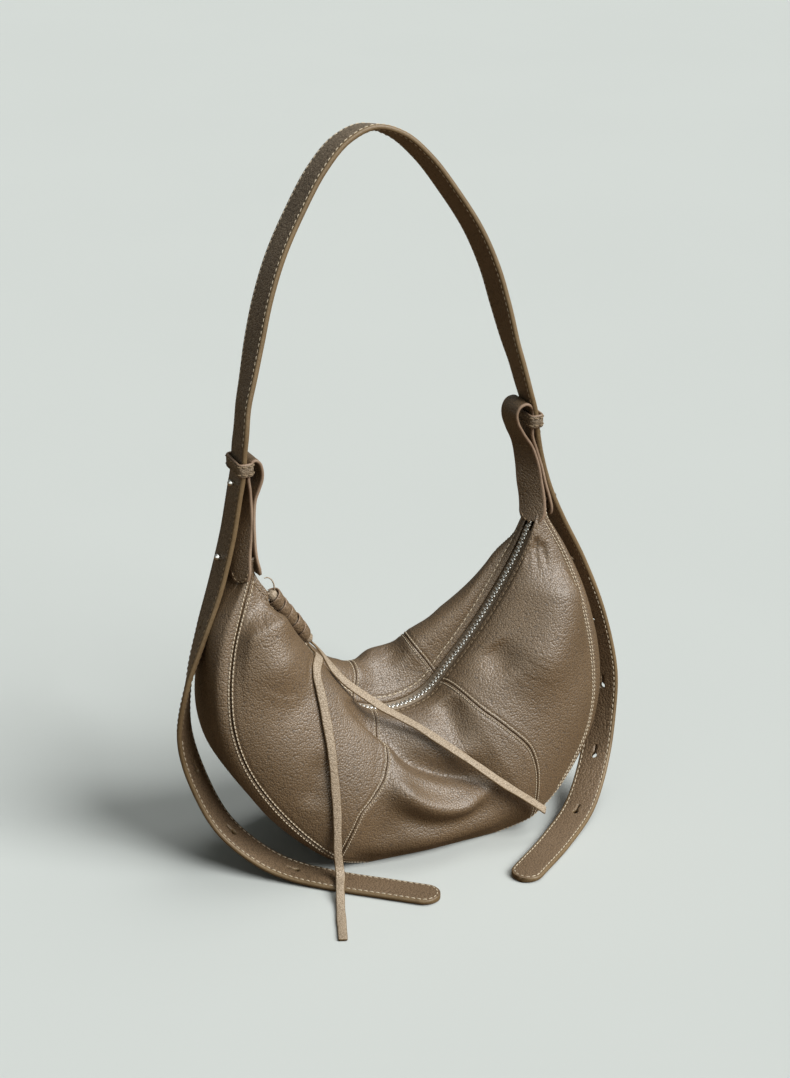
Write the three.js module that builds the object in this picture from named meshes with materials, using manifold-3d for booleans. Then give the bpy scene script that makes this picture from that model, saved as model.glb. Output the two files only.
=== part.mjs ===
import * as THREE from 'three';
import Module from 'manifold-3d';

const wasm = await Module();
wasm.setup();

// All sizes are in millimetres. Z is up, the front of the bag faces -Y.
const leather = 2.0;
const liningStart = 3.4;
const liningThick = 0.8;
const seamGap = 0.16;
const lipHalf = 7.0;
const tapeTop = 2.5;
const tapeThick = 0.6;
const chainLevel = -2.8;
const toothPitch = 3.5;
const toothWidth = 1.05;
const toothReach = 0.9;
const partedTip = 0.6;
const partedRun = 104;
const strapWidth = 24;
const strapThick = 3.6;
const strapEdge = 0.9;
const strapGap = 0.3;
const strapX = 113.5;
const strapY = 12;
const pivotZ = 330;
const archLean = 9.7;
const holePitch = 56;
const keeperTall = 10;
const keeperWall = 1.8;
const keeperLow = 302;
const tabWidth = 22;
const tabThick = 2.2;
const sliderMid = 6.5;
const barrelStart = 13.2;
const barrelTurns = 8;
const barrelPitch = 6.6;
const pullLevel = 4.2;
const laceWidth = 6.6;
const laceThick = 1.8;

const leatherBody = new THREE.MeshStandardMaterial({ color: 0x756656, roughness: 0.55 });
const leatherStrap = new THREE.MeshStandardMaterial({ color: 0x67594a, roughness: 0.6 });
const leatherLace = new THREE.MeshStandardMaterial({ color: 0x8c7f70, roughness: 0.65 });
const clothLining = new THREE.MeshStandardMaterial({ color: 0x4c443c, roughness: 0.9 });
const clothTape = new THREE.MeshStandardMaterial({ color: 0x5b5046, roughness: 0.9 });
const silver = new THREE.MeshStandardMaterial({ color: 0xcfd0d0, roughness: 0.25, metalness: 1 });

const group = new THREE.Group();

function addPiece(name, geometry, material) {
  const mesh = new THREE.Mesh(geometry, material);
  mesh.name = name;
  group.add(mesh);
}

// A closed body from corner points and triangles, turned so that it faces outwards.
function closedGeometry(points, faces) {
  let volume = 0;
  for (const [a, b, c] of faces) {
    volume += points[a].dot(points[b].clone().cross(points[c]));
  }
  const index = faces.flatMap(([a, b, c]) => (volume < 0 ? [a, c, b] : [a, b, c]));
  const geometry = new THREE.BufferGeometry();
  const flat = points.flatMap((p) => [p.x, p.y, p.z]);
  geometry.setAttribute('position', new THREE.Float32BufferAttribute(flat, 3));
  geometry.setIndex(index);
  geometry.computeVertexNormals();
  return geometry;
}

// A thick sheet between two grids of points that share their rows and columns.
function sheetBetween(outer, inner) {
  const rows = outer.length;
  const cols = outer[0].length;
  const points = [...outer.flat(), ...inner.flat()];
  const faces = [];
  const at = (i, j, layer) => layer * rows * cols + i * cols + j;
  const quad = (a, b, c, d) => faces.push([a, b, c], [a, c, d]);
  for (let i = 0; i + 1 < rows; i += 1) {
    for (let j = 0; j + 1 < cols; j += 1) {
      quad(at(i, j, 0), at(i + 1, j, 0), at(i + 1, j + 1, 0), at(i, j + 1, 0));
      quad(at(i, j, 1), at(i, j + 1, 1), at(i + 1, j + 1, 1), at(i + 1, j, 1));
    }
  }
  for (let i = 0; i + 1 < rows; i += 1) {
    quad(at(i, 0, 0), at(i, 0, 1), at(i + 1, 0, 1), at(i + 1, 0, 0));
    const last = cols - 1;
    quad(at(i, last, 0), at(i + 1, last, 0), at(i + 1, last, 1), at(i, last, 1));
  }
  for (let j = 0; j + 1 < cols; j += 1) {
    quad(at(0, j, 0), at(0, j + 1, 0), at(0, j + 1, 1), at(0, j, 1));
    const last = rows - 1;
    quad(at(last, j, 0), at(last, j, 1), at(last, j + 1, 1), at(last, j + 1, 0));
  }
  return closedGeometry(points, faces);
}

// A run of equal rings joined into one closed tube with flat ends.
function sweepRings(rings) {
  const sides = rings[0].length;
  const points = rings.flat();
  const faces = [];
  for (let i = 0; i + 1 < rings.length; i += 1) {
    for (let k = 0; k < sides; k += 1) {
      const a = i * sides + k;
      const b = i * sides + ((k + 1) % sides);
      faces.push([a, b, b + sides], [a, b + sides, a + sides]);
    }
  }
  const end = (rings.length - 1) * sides;
  for (let k = 1; k + 1 < sides; k += 1) {
    faces.push([0, k + 1, k], [end, end + k, end + k + 1]);
  }
  return closedGeometry(points, faces);
}

function toSolid(geometry) {
  const position = geometry.getAttribute('position');
  const mesh = new wasm.Mesh({
    numProp: 3,
    vertProperties: new Float32Array(position.array),
    triVerts: new Uint32Array(geometry.getIndex().array),
  });
  mesh.merge();
  return new wasm.Manifold(mesh);
}

function fromSolid(solid) {
  const mesh = solid.getMesh();
  const geometry = new THREE.BufferGeometry();
  geometry.setAttribute('position', new THREE.BufferAttribute(mesh.vertProperties, 3));
  geometry.setIndex(new THREE.BufferAttribute(mesh.triVerts, 1));
  geometry.computeVertexNormals();
  return geometry;
}

// Smooth interpolation through knots that never overshoots them.
function through(knots, values, x) {
  const n = knots.length;
  const slope = [];
  for (let i = 0; i + 1 < n; i += 1) {
    slope.push((values[i + 1] - values[i]) / (knots[i + 1] - knots[i]));
  }
  const tangent = [slope[0]];
  for (let i = 1; i + 1 < n; i += 1) {
    const both = slope[i - 1] * slope[i];
    tangent.push(both <= 0 ? 0 : (2 * both) / (slope[i - 1] + slope[i]));
  }
  tangent.push(slope[n - 2]);
  let i = 0;
  while (i + 2 < n && x > knots[i + 1]) i += 1;
  const h = knots[i + 1] - knots[i];
  const t = Math.min(1, Math.max(0, (x - knots[i]) / h));
  const a = (1 + 2 * t) * (1 - t) * (1 - t);
  const b = t * (1 - t) * (1 - t) * h;
  const c = t * t * (3 - 2 * t);
  const d = t * t * (t - 1) * h;
  return a * values[i] + b * tangent[i] + c * values[i + 1] + d * tangent[i + 1];
}

// A flat polyline in X and Z that is asked for points by its length.
function lengthLine(points) {
  const sums = [0];
  for (let i = 1; i < points.length; i += 1) {
    sums.push(sums[i - 1] + points[i].distanceTo(points[i - 1]));
  }
  const total = sums[sums.length - 1];
  const at = (s) => {
    let i = 1;
    while (i + 1 < points.length && s > sums[i]) i += 1;
    const f = (s - sums[i - 1]) / (sums[i] - sums[i - 1]);
    return points[i - 1].clone().lerp(points[i], f);
  };
  const along = (s) => at(s + 1.2).sub(at(s - 1.2)).normalize();
  const lengthAtX = (x, from) => {
    let s = from;
    while (s < total && at(s).x < x) s += 0.25;
    return s;
  };
  return { total, at, along, lengthAtX };
}

function splinePoints(pairs, count) {
  const knots = pairs.map(([x, z]) => new THREE.Vector3(x, 0, z));
  return new THREE.CatmullRomCurve3(knots, false, 'centripetal').getSpacedPoints(count);
}

// The zip line: a straight left leg, a rounded dip and a curved right leg.
const zipLeft = new THREE.Vector3(-110, 0, 219);
const legEnd = new THREE.Vector3(-53, 0, 135.2);
const zipCurve = splinePoints([
  [-53, 135.2], [-44, 122], [-30, 107.8], [-15, 101.6], [0, 100.2], [14, 102.7], [26, 108.7],
  [42, 126.3], [63.7, 152.2], [84, 182.3], [98.5, 207.6], [109.6, 232.6],
], 120);
const zipLine = lengthLine([zipLeft, ...zipCurve]);
const legAlong = legEnd.clone().sub(zipLeft).normalize();
const legUp = new THREE.Vector3(-legAlong.z, 0, legAlong.x);

function zipFrame(s) {
  const along = s < 96 ? legAlong.clone() : zipLine.along(s);
  return { at: zipLine.at(s), along, up: new THREE.Vector3(-along.z, 0, along.x) };
}

// The seam between the panels and the gusset: two curved sides and a flat base.
const seamLeft = splinePoints([
  [-115.4, 223.7], [-124.6, 202], [-133, 177], [-138.2, 150], [-138.5, 122], [-131.5, 94],
  [-115, 64], [-90, 33], [-66, 13], [-40, 5],
], 90);
const seamRight = splinePoints([
  [60, 5], [82, 10], [106, 26], [124, 46.5], [138, 70], [145.4, 96], [146.5, 125], [144, 151],
  [139, 178], [130, 204.5], [118.5, 230],
], 90);
const seamLine = lengthLine([...seamLeft, ...seamRight]);

// Ribs join the seam line to the zip line; u runs from the left horn to the right horn.
const ribKnots = [0, 0.36, 0.5, 0.64, 1];
const seamKnots = [0, -68, 8, 87, 200].map((x, i) => (i === 0 ? 0 : seamLine.lengthAtX(x, 190)));
const zipKnots = [0, -33, 0, 36, 200].map((x, i) => (i === 0 ? 0 : zipLine.lengthAtX(x, 0)));
const depthKnots = [0, 0.06, 0.12, 0.19, 0.26, 0.36, 0.5, 0.64, 0.74, 0.81, 0.88, 0.94, 1];
const depthValues = [9, 17, 27, 37, 46, 55, 58, 55, 46, 37, 27, 17, 9];
const swellValues = [3, 6, 8, 9, 9, 6, 5, 6, 11, 11, 9, 6, 3];

const seamAt = (u) => seamLine.at(through(ribKnots, seamKnots, u));
const lipAt = (u) => zipLine.at(through(ribKnots, zipKnots, u));
const depthAt = (u) => through(depthKnots, depthValues, u);

function seamOut(u) {
  const along = seamLine.along(through(ribKnots, seamKnots, u));
  return new THREE.Vector3(along.z, 0, -along.x);
}

// How far the panel stands above the zip beside it.
function crestAt(side, u) {
  const middle = Math.sin(Math.PI * Math.min(1, Math.max(0, u))) ** 2;
  if (side > 0) return middle * through([0, 0.3, 0.5, 0.7, 1], [50, 55, 84, 62, 60], u);
  return middle * through([0, 0.3, 0.5, 0.7, 1], [30, 24, 8, 4, 4], u);
}

// Outer face of the front (side -1) or back (side 1) panel, from the seam up to the lip.
function panelPoint(side, u, v) {
  const low = seamAt(u);
  const high = lipAt(u);
  const rise = high.clone().sub(low);
  const length = rise.length();
  rise.normalize();
  const depth = depthAt(u);
  const lip = Math.min(lipHalf, 0.75 * depth);
  const bulge = 22 * Math.min(1, depth / 40) * Math.min(1, length / 40);
  const crest = crestAt(side, u);
  const shoulder = depth * (0.72 + 0.12 * Math.min(1, crest / 40));
  const rim = Math.min(15 + 0.12 * crest, 0.92 * depth);
  const heights = [0, 0.42 * length, length + 0.9 * crest, length + 0.35 * crest, length];
  const depths = [depth, depth + bulge, shoulder, rim, lip];
  const w = 1 - v;
  const weights = [w ** 4, 4 * w ** 3 * v, 6 * w * w * v * v, 4 * w * v ** 3, v ** 4];
  const h = weights.reduce((sum, k, i) => sum + k * heights[i], 0);
  const y = weights.reduce((sum, k, i) => sum + k * depths[i], 0);
  return low.addScaledVector(rise, h).setY(side * y);
}

// Outer face of the gusset; w runs from the front seam to the back seam.
function gussetPoint(u, w) {
  const room = Math.min(1, (1 - Math.abs(w)) / 0.28);
  const swell = through(depthKnots, swellValues, u) * room * (2 - room);
  const foot = seamAt(u);
  const out = foot.z < 5.01 ? new THREE.Vector3(0, 0, -1) : seamOut(u);
  const point = foot.addScaledVector(out, foot.z < 5.01 ? 5 * room * (2 - room) : swell);
  point.z = Math.max(0, point.z);
  return point.setY(w * depthAt(u));
}

function crossOf(pointAt, u, v) {
  const du = pointAt(Math.min(1, u + 0.004), v).sub(pointAt(Math.max(0, u - 0.004), v));
  const dv = pointAt(u, v + 0.004).sub(pointAt(u, v - 0.004));
  return du.cross(dv).normalize();
}

function panelOut(side, u, v) {
  const out = crossOf((a, b) => panelPoint(side, a, Math.min(1, Math.max(0, b))), u, v);
  return out.multiplyScalar(-side);
}

function gussetOut(u, w) {
  const clampW = (b) => Math.min(1, Math.max(-1, b));
  return crossOf((a, b) => gussetPoint(a, clampW(b)), u, w).negate();
}

// Inward offset that two neighbours share along a seam, so that their edges mitre.
function seamInset(side, u, inset) {
  const panel = panelOut(side, u, 0);
  const both = panel.clone().add(gussetOut(u, side)).normalize();
  return both.multiplyScalar(-inset / Math.max(0.5, both.dot(panel)));
}

function panelInset(side, u, v, inset) {
  const point = panelPoint(side, u, v);
  if (v <= 0) return point.add(seamInset(side, u, inset));
  return point.addScaledVector(panelOut(side, u, v), -inset);
}

function gussetInset(u, w, inset) {
  const point = gussetPoint(u, w);
  if (Math.abs(w) >= 1) return point.add(seamInset(Math.sign(w), u, inset));
  return point.addScaledVector(gussetOut(u, w), -inset);
}

const spread = (from, to, count) => Array.from(
  { length: count + 1 },
  (_, i) => from + ((to - from) * i) / count,
);

function panelSheet(side, us, vs, from, to) {
  const layer = (inset) => us.map((u) => vs.map((v) => {
    const point = panelInset(side, u, v, inset);
    if (v <= 0) point.addScaledVector(lipAt(u).sub(seamAt(u)).normalize(), seamGap);
    return point;
  }));
  return sheetBetween(layer(from), layer(to));
}

function gussetSheet(us, ws, from, to) {
  const layer = (inset) => us.map((u) => ws.map((w) => {
    const point = gussetInset(u, w, inset);
    if (Math.abs(w) >= 1) point.y -= Math.sign(w) * seamGap;
    return point;
  }));
  return sheetBetween(layer(from), layer(to));
}

const panelRows = [0, 0.1, 0.22, 0.36, 0.5, 0.64, 0.77, 0.89, 1];
const cut = 0.0006;
const panelSpans = { left: [0, 0.36 - cut], centre: [0.36 + cut, 0.64 - cut], right: [0.64 + cut, 1] };
for (const [sideName, side] of [['front', -1], ['back', 1]]) {
  for (const [spanName, [from, to]] of Object.entries(panelSpans)) {
    const us = spread(from, to, spanName === 'centre' ? 12 : 15);
    addPiece(`panel_${sideName}_${spanName}`, panelSheet(side, us, panelRows, 0, leather), leatherBody);
  }
}
const gussetColumns = [
  ...spread(0, 0.36, 15), ...spread(0.36, 0.64, 12).slice(1), ...spread(0.64, 1, 15).slice(1),
];
const gussetRows = [-1, -0.88, -0.72, 0.72, 0.88, 1];
addPiece('gusset', gussetSheet(gussetColumns, gussetRows, 0, leather), leatherBody);

const liningColumns = gussetColumns.filter((_, i) => i > 1 && i < 41 && i % 2 === 1);
const liningRows = [0, 0.22, 0.5, 0.77];
const liningEnd = liningStart + liningThick;
for (const [sideName, side] of [['front', -1], ['back', 1]]) {
  const sheet = panelSheet(side, liningColumns, liningRows, liningStart, liningEnd);
  addPiece(`lining_${sideName}`, sheet, clothLining);
}
const liningGusset = gussetSheet(liningColumns, gussetRows, liningStart, liningEnd);
addPiece('lining_gusset', liningGusset, clothLining);

// Zip tapes run under the lips and end beside the teeth.
const tapeColumns = spread(0.03, 0.97, 34);
for (const [sideName, side] of [['front', -1], ['back', 1]]) {
  const layer = (inset) => tapeColumns.map((u) => {
    const row = [0.88, 0.94, 1].map((v) => panelInset(side, u, v, inset));
    const s = through(ribKnots, zipKnots, u);
    const { at, up } = zipFrame(s);
    row.push(at.addScaledVector(up, -inset).setY(side * 3.45));
    return row;
  });
  const tape = sheetBetween(layer(tapeTop), layer(tapeTop + tapeThick));
  addPiece(`zip_tape_${sideName}`, tape, clothTape);
}

// One comb of zip teeth: a bead along the tape with a tooth at every pitch.
function zipComb(side, from, to) {
  const points = [];
  const faces = [];
  const quad = (a, b, c, d) => faces.push([a, b, c], [a, c, d]);
  const put = (s, y, level) => {
    const { at, up } = zipFrame(s);
    points.push(at.addScaledVector(up, chainLevel + level).setY(side * y));
    return points.length - 1;
  };
  const ring = (s) => [put(s, 3.1, 1.1), put(s, 1.95, 1.1), put(s, 1.95, -1.1), put(s, 3.1, -1.1)];
  const sides = (a, b) => {
    quad(a[0], b[0], b[1], a[1]);
    quad(a[2], b[2], b[3], a[3]);
    quad(a[3], b[3], b[0], a[0]);
  };
  let last = ring(from);
  quad(last[0], last[1], last[2], last[3]);
  const shift = side < 0 ? 0.5 : 1;
  for (let s = from + shift * toothPitch; s + toothWidth < to; s += toothPitch) {
    const near = ring(s - toothWidth / 2);
    const far = ring(s + toothWidth / 2);
    sides(last, near);
    quad(last[1], near[1], near[2], last[2]);
    sides(near, far);
    const tip = s < partedRun ? partedTip : -toothReach;
    const w = toothWidth * 0.4;
    const corners = [[-w, 0.95], [w, 0.95], [w, -0.95], [-w, -0.95]];
    const head = corners.map(([run, level]) => put(s + run, tip, level));
    quad(near[1], far[1], head[1], head[0]);
    quad(far[2], near[2], head[3], head[2]);
    quad(near[1], head[0], head[3], near[2]);
    quad(far[1], far[2], head[2], head[1]);
    quad(head[0], head[1], head[2], head[3]);
    last = far;
  }
  const stop = ring(to);
  sides(last, stop);
  quad(last[1], stop[1], stop[2], last[2]);
  quad(stop[3], stop[2], stop[1], stop[0]);
  return closedGeometry(points, faces);
}

const chainFrom = 3.2;
const chainTo = zipLine.total - 5;
addPiece('zip_teeth_front', zipComb(-1, chainFrom, chainTo), silver);
addPiece('zip_teeth_back', zipComb(1, chainFrom, chainTo), silver);

// A block set in the frame of the zip line: run along it, across in Y, and up from it.
function zipBlock(s, run, across, up) {
  const frame = zipFrame(s);
  const size = [run[1] - run[0], across[1] - across[0], up[1] - up[0]];
  const block = new THREE.BoxGeometry(size[0], size[1], size[2]);
  const mid = [(run[0] + run[1]) / 2, (across[0] + across[1]) / 2, (up[0] + up[1]) / 2];
  block.translate(mid[0], mid[1], mid[2]);
  const acrossAxis = new THREE.Vector3(0, 1, 0);
  const basis = new THREE.Matrix4().makeBasis(frame.along, acrossAxis, frame.up);
  block.applyMatrix4(basis.setPosition(frame.at));
  return block;
}

const topStops = [['front', -1], ['back', 1]];
for (const [sideName, side] of topStops) {
  const across = side < 0 ? [-3.1, -0.9] : [0.9, 3.1];
  addPiece(`zip_stop_${sideName}`, zipBlock(1.4, [-1.2, 1.2], across, [-4, -1.3]), silver);
}
const endStop = zipBlock(zipLine.total - 2.6, [-1.8, 1.8], [-3.1, 3.1], [-4.1, -1.2]);
addPiece('zip_stop_end', endStop, silver);

// The slider: two plates joined by a thin post, side rails and a bridge for the pull.
const sliderParts = [
  [[-5, 5], [-4.9, 4.9], [-0.9, 0.5]],
  [[-5, 5], [-4.9, 4.9], [-5.8, -4.4]],
  [[-5, -3.6], [-0.3, 0.3], [-4.6, -0.6]],
  [[-5, 5], [-4.9, -3.7], [-1.9, -0.8]],
  [[-5, 5], [3.7, 4.9], [-1.9, -0.8]],
  [[-5, 5], [-4.9, -3.7], [-4.5, -3.4]],
  [[-5, 5], [3.7, 4.9], [-4.5, -3.4]],
  [[-3.4, -2.2], [-1.1, 1.1], [0.3, 3.2]],
  [[3.2, 4.4], [-1.1, 1.1], [0.3, 3.2]],
  [[-3.4, 4.4], [-1.1, 1.1], [3.0, 4.2]],
];
const slider = sliderParts
  .map(([run, across, up]) => toSolid(zipBlock(sliderMid, run, across, up)))
  .reduce((sum, block) => sum.add(block));
addPiece('zip_slider', fromSolid(slider), silver);

// The pull hangs down the left leg; its places are told by run, across and up.
function pullPoint(run, across, up) {
  return zipLeft.clone()
    .addScaledVector(legAlong, run)
    .addScaledVector(legUp, up)
    .setY(across);
}

function roundTube(path, radius, sides) {
  const rings = path.map((point, i) => {
    const ahead = path[Math.min(path.length - 1, i + 1)];
    const along = ahead.clone().sub(path[Math.max(0, i - 1)]).normalize();
    const first = new THREE.Vector3(0.31, 0.2, 0.93).cross(along).normalize();
    const second = along.clone().cross(first);
    return Array.from({ length: sides }, (_, k) => {
      const turn = (2 * Math.PI * k) / sides;
      return point.clone()
        .addScaledVector(first, radius * Math.cos(turn))
        .addScaledVector(second, radius * Math.sin(turn));
    });
  });
  return sweepRings(rings);
}

const barrelLong = barrelTurns * barrelPitch;
const barrelEnd = barrelStart + barrelLong;
const corePath = [barrelStart - 0.4, barrelEnd + 0.6].map((run) => pullPoint(run, 0, pullLevel));
const core = toSolid(roundTube(corePath, 2.7, 14));
const loopKnots = [
  [barrelStart + 1, -1.6, pullLevel], [11.6, -2.3, 2.9], [10, -2.5, 1.9], [8.8, -1.5, 1.8],
  [8.4, 0, 1.8], [8.8, 1.5, 1.8], [10, 2.5, 1.9], [11.6, 2.3, 2.9], [barrelStart + 1, 1.6, pullLevel],
].map(([run, across, up]) => pullPoint(run, across, up));
const loopPath = new THREE.CatmullRomCurve3(loopKnots).getSpacedPoints(16);
const loop = toSolid(roundTube(loopPath, 0.7, 6));
addPiece('pull_cord', fromSolid(core.add(loop)), leatherLace);

// The strip wound round the pull: one unbroken turn after turn of a flat section.
const wrapSection = [[-2.95, 0], [-2, -0.75], [2, -0.75], [2.95, 0], [2, 0.75], [-2, 0.75]];
const wrapRadius = 3.85;
const wrapSteps = 24;
const wrapRings = Array.from({ length: (barrelTurns - 1) * wrapSteps + 1 }, (_, i) => {
  const turn = (2 * Math.PI * i) / wrapSteps;
  const run = barrelStart + barrelPitch * (0.5 + i / wrapSteps);
  return wrapSection.map(([axial, radial]) => {
    const r = wrapRadius + radial;
    return pullPoint(run + axial, r * Math.cos(turn), pullLevel + r * Math.sin(turn));
  });
});
let leastGap = Infinity;
for (let i = 0; i + wrapSteps < wrapRings.length; i += 1) {
  for (const p of wrapRings[i]) {
    for (const q of wrapRings[i + wrapSteps]) leastGap = Math.min(leastGap, p.distanceTo(q));
  }
}
console.log(`wound strip: ${barrelTurns - 1} turns, least gap to itself ${leastGap.toFixed(2)} mm`);
addPiece('pull_wrap', sweepRings(wrapRings), leatherLace);

// Half width of a strip at a distance from its rounded end.
const roundedHalf = (half, back) => (back >= half ? half : Math.sqrt(half ** 2 - (half - back) ** 2));
const tipSteps = [0.12, 0.7, 1.8, 3.6, 6.4, 12];

// One ring of a flat strip: centre, half width along across, half thickness along face.
function stripRing({ at, across, face, half, thick }) {
  return [[1, 1], [-1, 1], [-1, -1], [1, -1]].map(([a, b]) => at.clone()
    .addScaledVector(across, a * half)
    .addScaledVector(face, b * thick));
}

// One ring of a strap with rounded edges: a flat face on each side and a ridge along each edge.
function edgedRing({ at, across, face, half, thick }) {
  const flat = half - strapEdge;
  const corners = [[half, 0], [flat, 1], [-flat, 1], [-half, 0], [-flat, -1], [flat, -1]];
  return corners.map(([a, b]) => at.clone()
    .addScaledVector(across, a)
    .addScaledVector(face, b * thick));
}

const sides = { left: -1, right: 1 };
const halfStrap = strapWidth / 2;
const halfThick = strapThick / 2;

// The shoulder arch leans back; its round ends turn about the pivots above the keepers.
const archHalf = [
  [113.5, 330], [113.2, 338], [110.4, 349], [103.6, 366], [95.8, 392], [87, 420], [75, 448],
  [58.5, 476], [40, 502], [21, 519.5], [0, 526.5],
];
const lean = THREE.MathUtils.degToRad(archLean);
const archUp = new THREE.Vector3(0, Math.sin(lean), Math.cos(lean));
const archAcross = new THREE.Vector3(0, Math.cos(lean), -Math.sin(lean));
const archPoint = (x, h) => new THREE.Vector3(x, strapY, pivotZ).addScaledVector(archUp, h);
const archKnots = archHalf.map(([x, z]) => archPoint(x, (z - pivotZ) / Math.cos(lean)));
const mirrorX = (p) => new THREE.Vector3(-p.x, p.y, p.z);
const archCurve = new THREE.CatmullRomCurve3(
  [...archKnots.map(mirrorX), ...archKnots.slice(0, -1).reverse()],
  false,
  'centripetal',
);
const archSteps = 44;
const archMid = archCurve.getSpacedPoints(archSteps).map((at, i, all) => {
  const along = all[Math.min(archSteps, i + 1)].clone().sub(all[Math.max(0, i - 1)]).normalize();
  const face = along.clone().cross(archAcross).normalize();
  if (i === 0 || i === archSteps) face.set(i === 0 ? -1 : 1, 0, 0);
  return { at, across: archAcross, face, half: halfStrap, thick: halfThick };
});
const archEnd = (side) => tipSteps.slice(0, -1).map((back) => ({
  at: archPoint(side * strapX, back - halfStrap),
  across: archAcross,
  face: new THREE.Vector3(side, 0, 0),
  half: roundedHalf(halfStrap, back),
  thick: halfThick,
}));
const archRun = [...archEnd(-1), ...archMid, ...archEnd(1).reverse()];
addPiece('strap_arch', sweepRings(archRun.map(edgedRing)), leatherStrap);

// The two tails hang through the keepers, turn about the upright and curl on to the floor.
const tailTop = pivotZ - halfStrap - strapGap;
const tailKnots = {
  left: [
    [-strapX, strapY, tailTop], [-strapX, strapY, 305], [-113.7, 12, 293], [-116.5, 12, 278],
    [-124, 12, 256], [-135, 11.5, 218], [-148.5, 10, 183], [-158.5, 9.6, 146], [-161.5, 10, 105],
    [-152.6, 3.4, 64], [-138.8, -7.7, 33], [-117.5, -26.3, 12.5], [-100.4, -41.1, 5], [-75.8, -62.4, 2.3],
    [-43.9, -89.3, 2.3], [-15.1, -113.3, 2.3],
  ],
  right: [
    [strapX, strapY, tailTop], [strapX, strapY, 305], [113.7, 12, 293], [116.5, 12, 278],
    [124.5, 12, 252], [135.5, 12, 226], [151, 11, 190], [167.5, 7, 140], [176, 1.5, 92], [172, -5, 58],
    [161.6, -16.8, 31], [133.6, -46.8, 8.6], [97.6, -77.4, 2.4], [62.5, -104.9, 2.3],
    [48.2, -115.9, 2.3],
  ],
};
const tailTurn = { left: 45, right: 37 };
const tipLong = 58;
const studBelow = 24.7;

function tailFrames(name) {
  const knots = tailKnots[name].map((p) => new THREE.Vector3(...p));
  const curve = new THREE.CatmullRomCurve3(knots, false, 'centripetal');
  curve.arcLengthDivisions = 600;
  const total = curve.getLength();
  const frame = (s) => {
    const at = curve.getPointAt(Math.min(1, Math.max(0, s / total)));
    const along = curve.getTangentAt(Math.min(1, Math.max(0, s / total)));
    const f = Math.min(1, Math.max(0, (s - 35) / 170));
    const turn = THREE.MathUtils.degToRad(tailTurn[name]) * f * f * (3 - 2 * f);
    const across = new THREE.Vector3(-sides[name] * Math.sin(turn), Math.cos(turn), 0);
    across.addScaledVector(along, -across.dot(along)).normalize();
    const face = along.clone().cross(across).multiplyScalar(sides[name]);
    return { at, along, across, face, half: halfStrap, thick: halfThick };
  };
  return { total, frame };
}

// A cutter set square to the strap: run along it, across it, and right through it.
function strapCutter(frame, radius, slit) {
  const turn = new THREE.Matrix4().makeBasis(frame.along, frame.across, frame.face);
  const handed = turn.determinant() < 0;
  if (handed) turn.makeBasis(frame.along, frame.across.clone().negate(), frame.face);
  turn.setPosition(frame.at);
  const rings = [-5, 5].map((depth) => Array.from({ length: 10 }, (_, k) => {
    const a = (2 * Math.PI * k) / 10;
    return new THREE.Vector3(radius * Math.cos(a), radius * Math.sin(a), depth).applyMatrix4(turn);
  }));
  let cutter = toSolid(sweepRings(rings));
  if (slit) {
    const box = new THREE.BoxGeometry(8, 0.9, 10).translate(-4.4, 0, 0).applyMatrix4(turn);
    cutter = cutter.add(toSolid(box));
  }
  return cutter;
}

// A ball stud: a shank through the strap, a flange on its face, a neck and a ball.
const studProfile = [
  [1.4, -1.7], [1.4, 2.1], [3.6, 2.1], [3.6, 2.6], [1.9, 3.0], [1.9, 4.0], [2.6, 4.6], [3.1, 6.2],
  [2.7, 7.6], [1.6, 8.7], [0.5, 9.1],
];
function ballStud(frame) {
  const rings = studProfile.map(([radius, out]) => Array.from({ length: 12 }, (_, k) => {
    const a = (2 * Math.PI * k) / 12;
    return frame.at.clone()
      .addScaledVector(frame.face, out)
      .addScaledVector(frame.across, radius * Math.cos(a))
      .addScaledVector(frame.along, radius * Math.sin(a));
  }));
  return sweepRings(rings);
}

for (const name of Object.keys(sides)) {
  const { total, frame } = tailFrames(name);
  const hinge = total - tipLong;
  const mainEnd = hinge - halfThick - 0.3;
  let main = toSolid(sweepRings(spread(0, mainEnd, 46).map(frame).map(stripRing)));
  for (let k = 0; k < 7; k += 1) {
    const place = frame(studBelow + k * holePitch);
    main = main.subtract(strapCutter(place, k < 2 ? 1.75 : 2.2, k > 1));
    if (k < 2) addPiece(`stud_${name}_${k + 1}`, ballStud(place), silver);
  }
  addPiece(`strap_tail_${name}`, fromSolid(main), leatherStrap);
  const hingeRings = [-1.74, -1.3, -0.7].map((d) => (
    { ...frame(hinge + d), thick: Math.sqrt(halfThick ** 2 - d ** 2) }
  ));
  const middle = spread(hinge, total - halfStrap, 6).map(frame);
  const tip = tipSteps.slice(0, -1).reverse().map((back) => (
    { ...frame(total - back), half: roundedHalf(halfStrap, back) }
  ));
  const tipRings = [...hingeRings, ...middle, ...tip].map(stripRing);
  addPiece(`strap_tip_${name}`, sweepRings(tipRings), leatherStrap);
}

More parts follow.
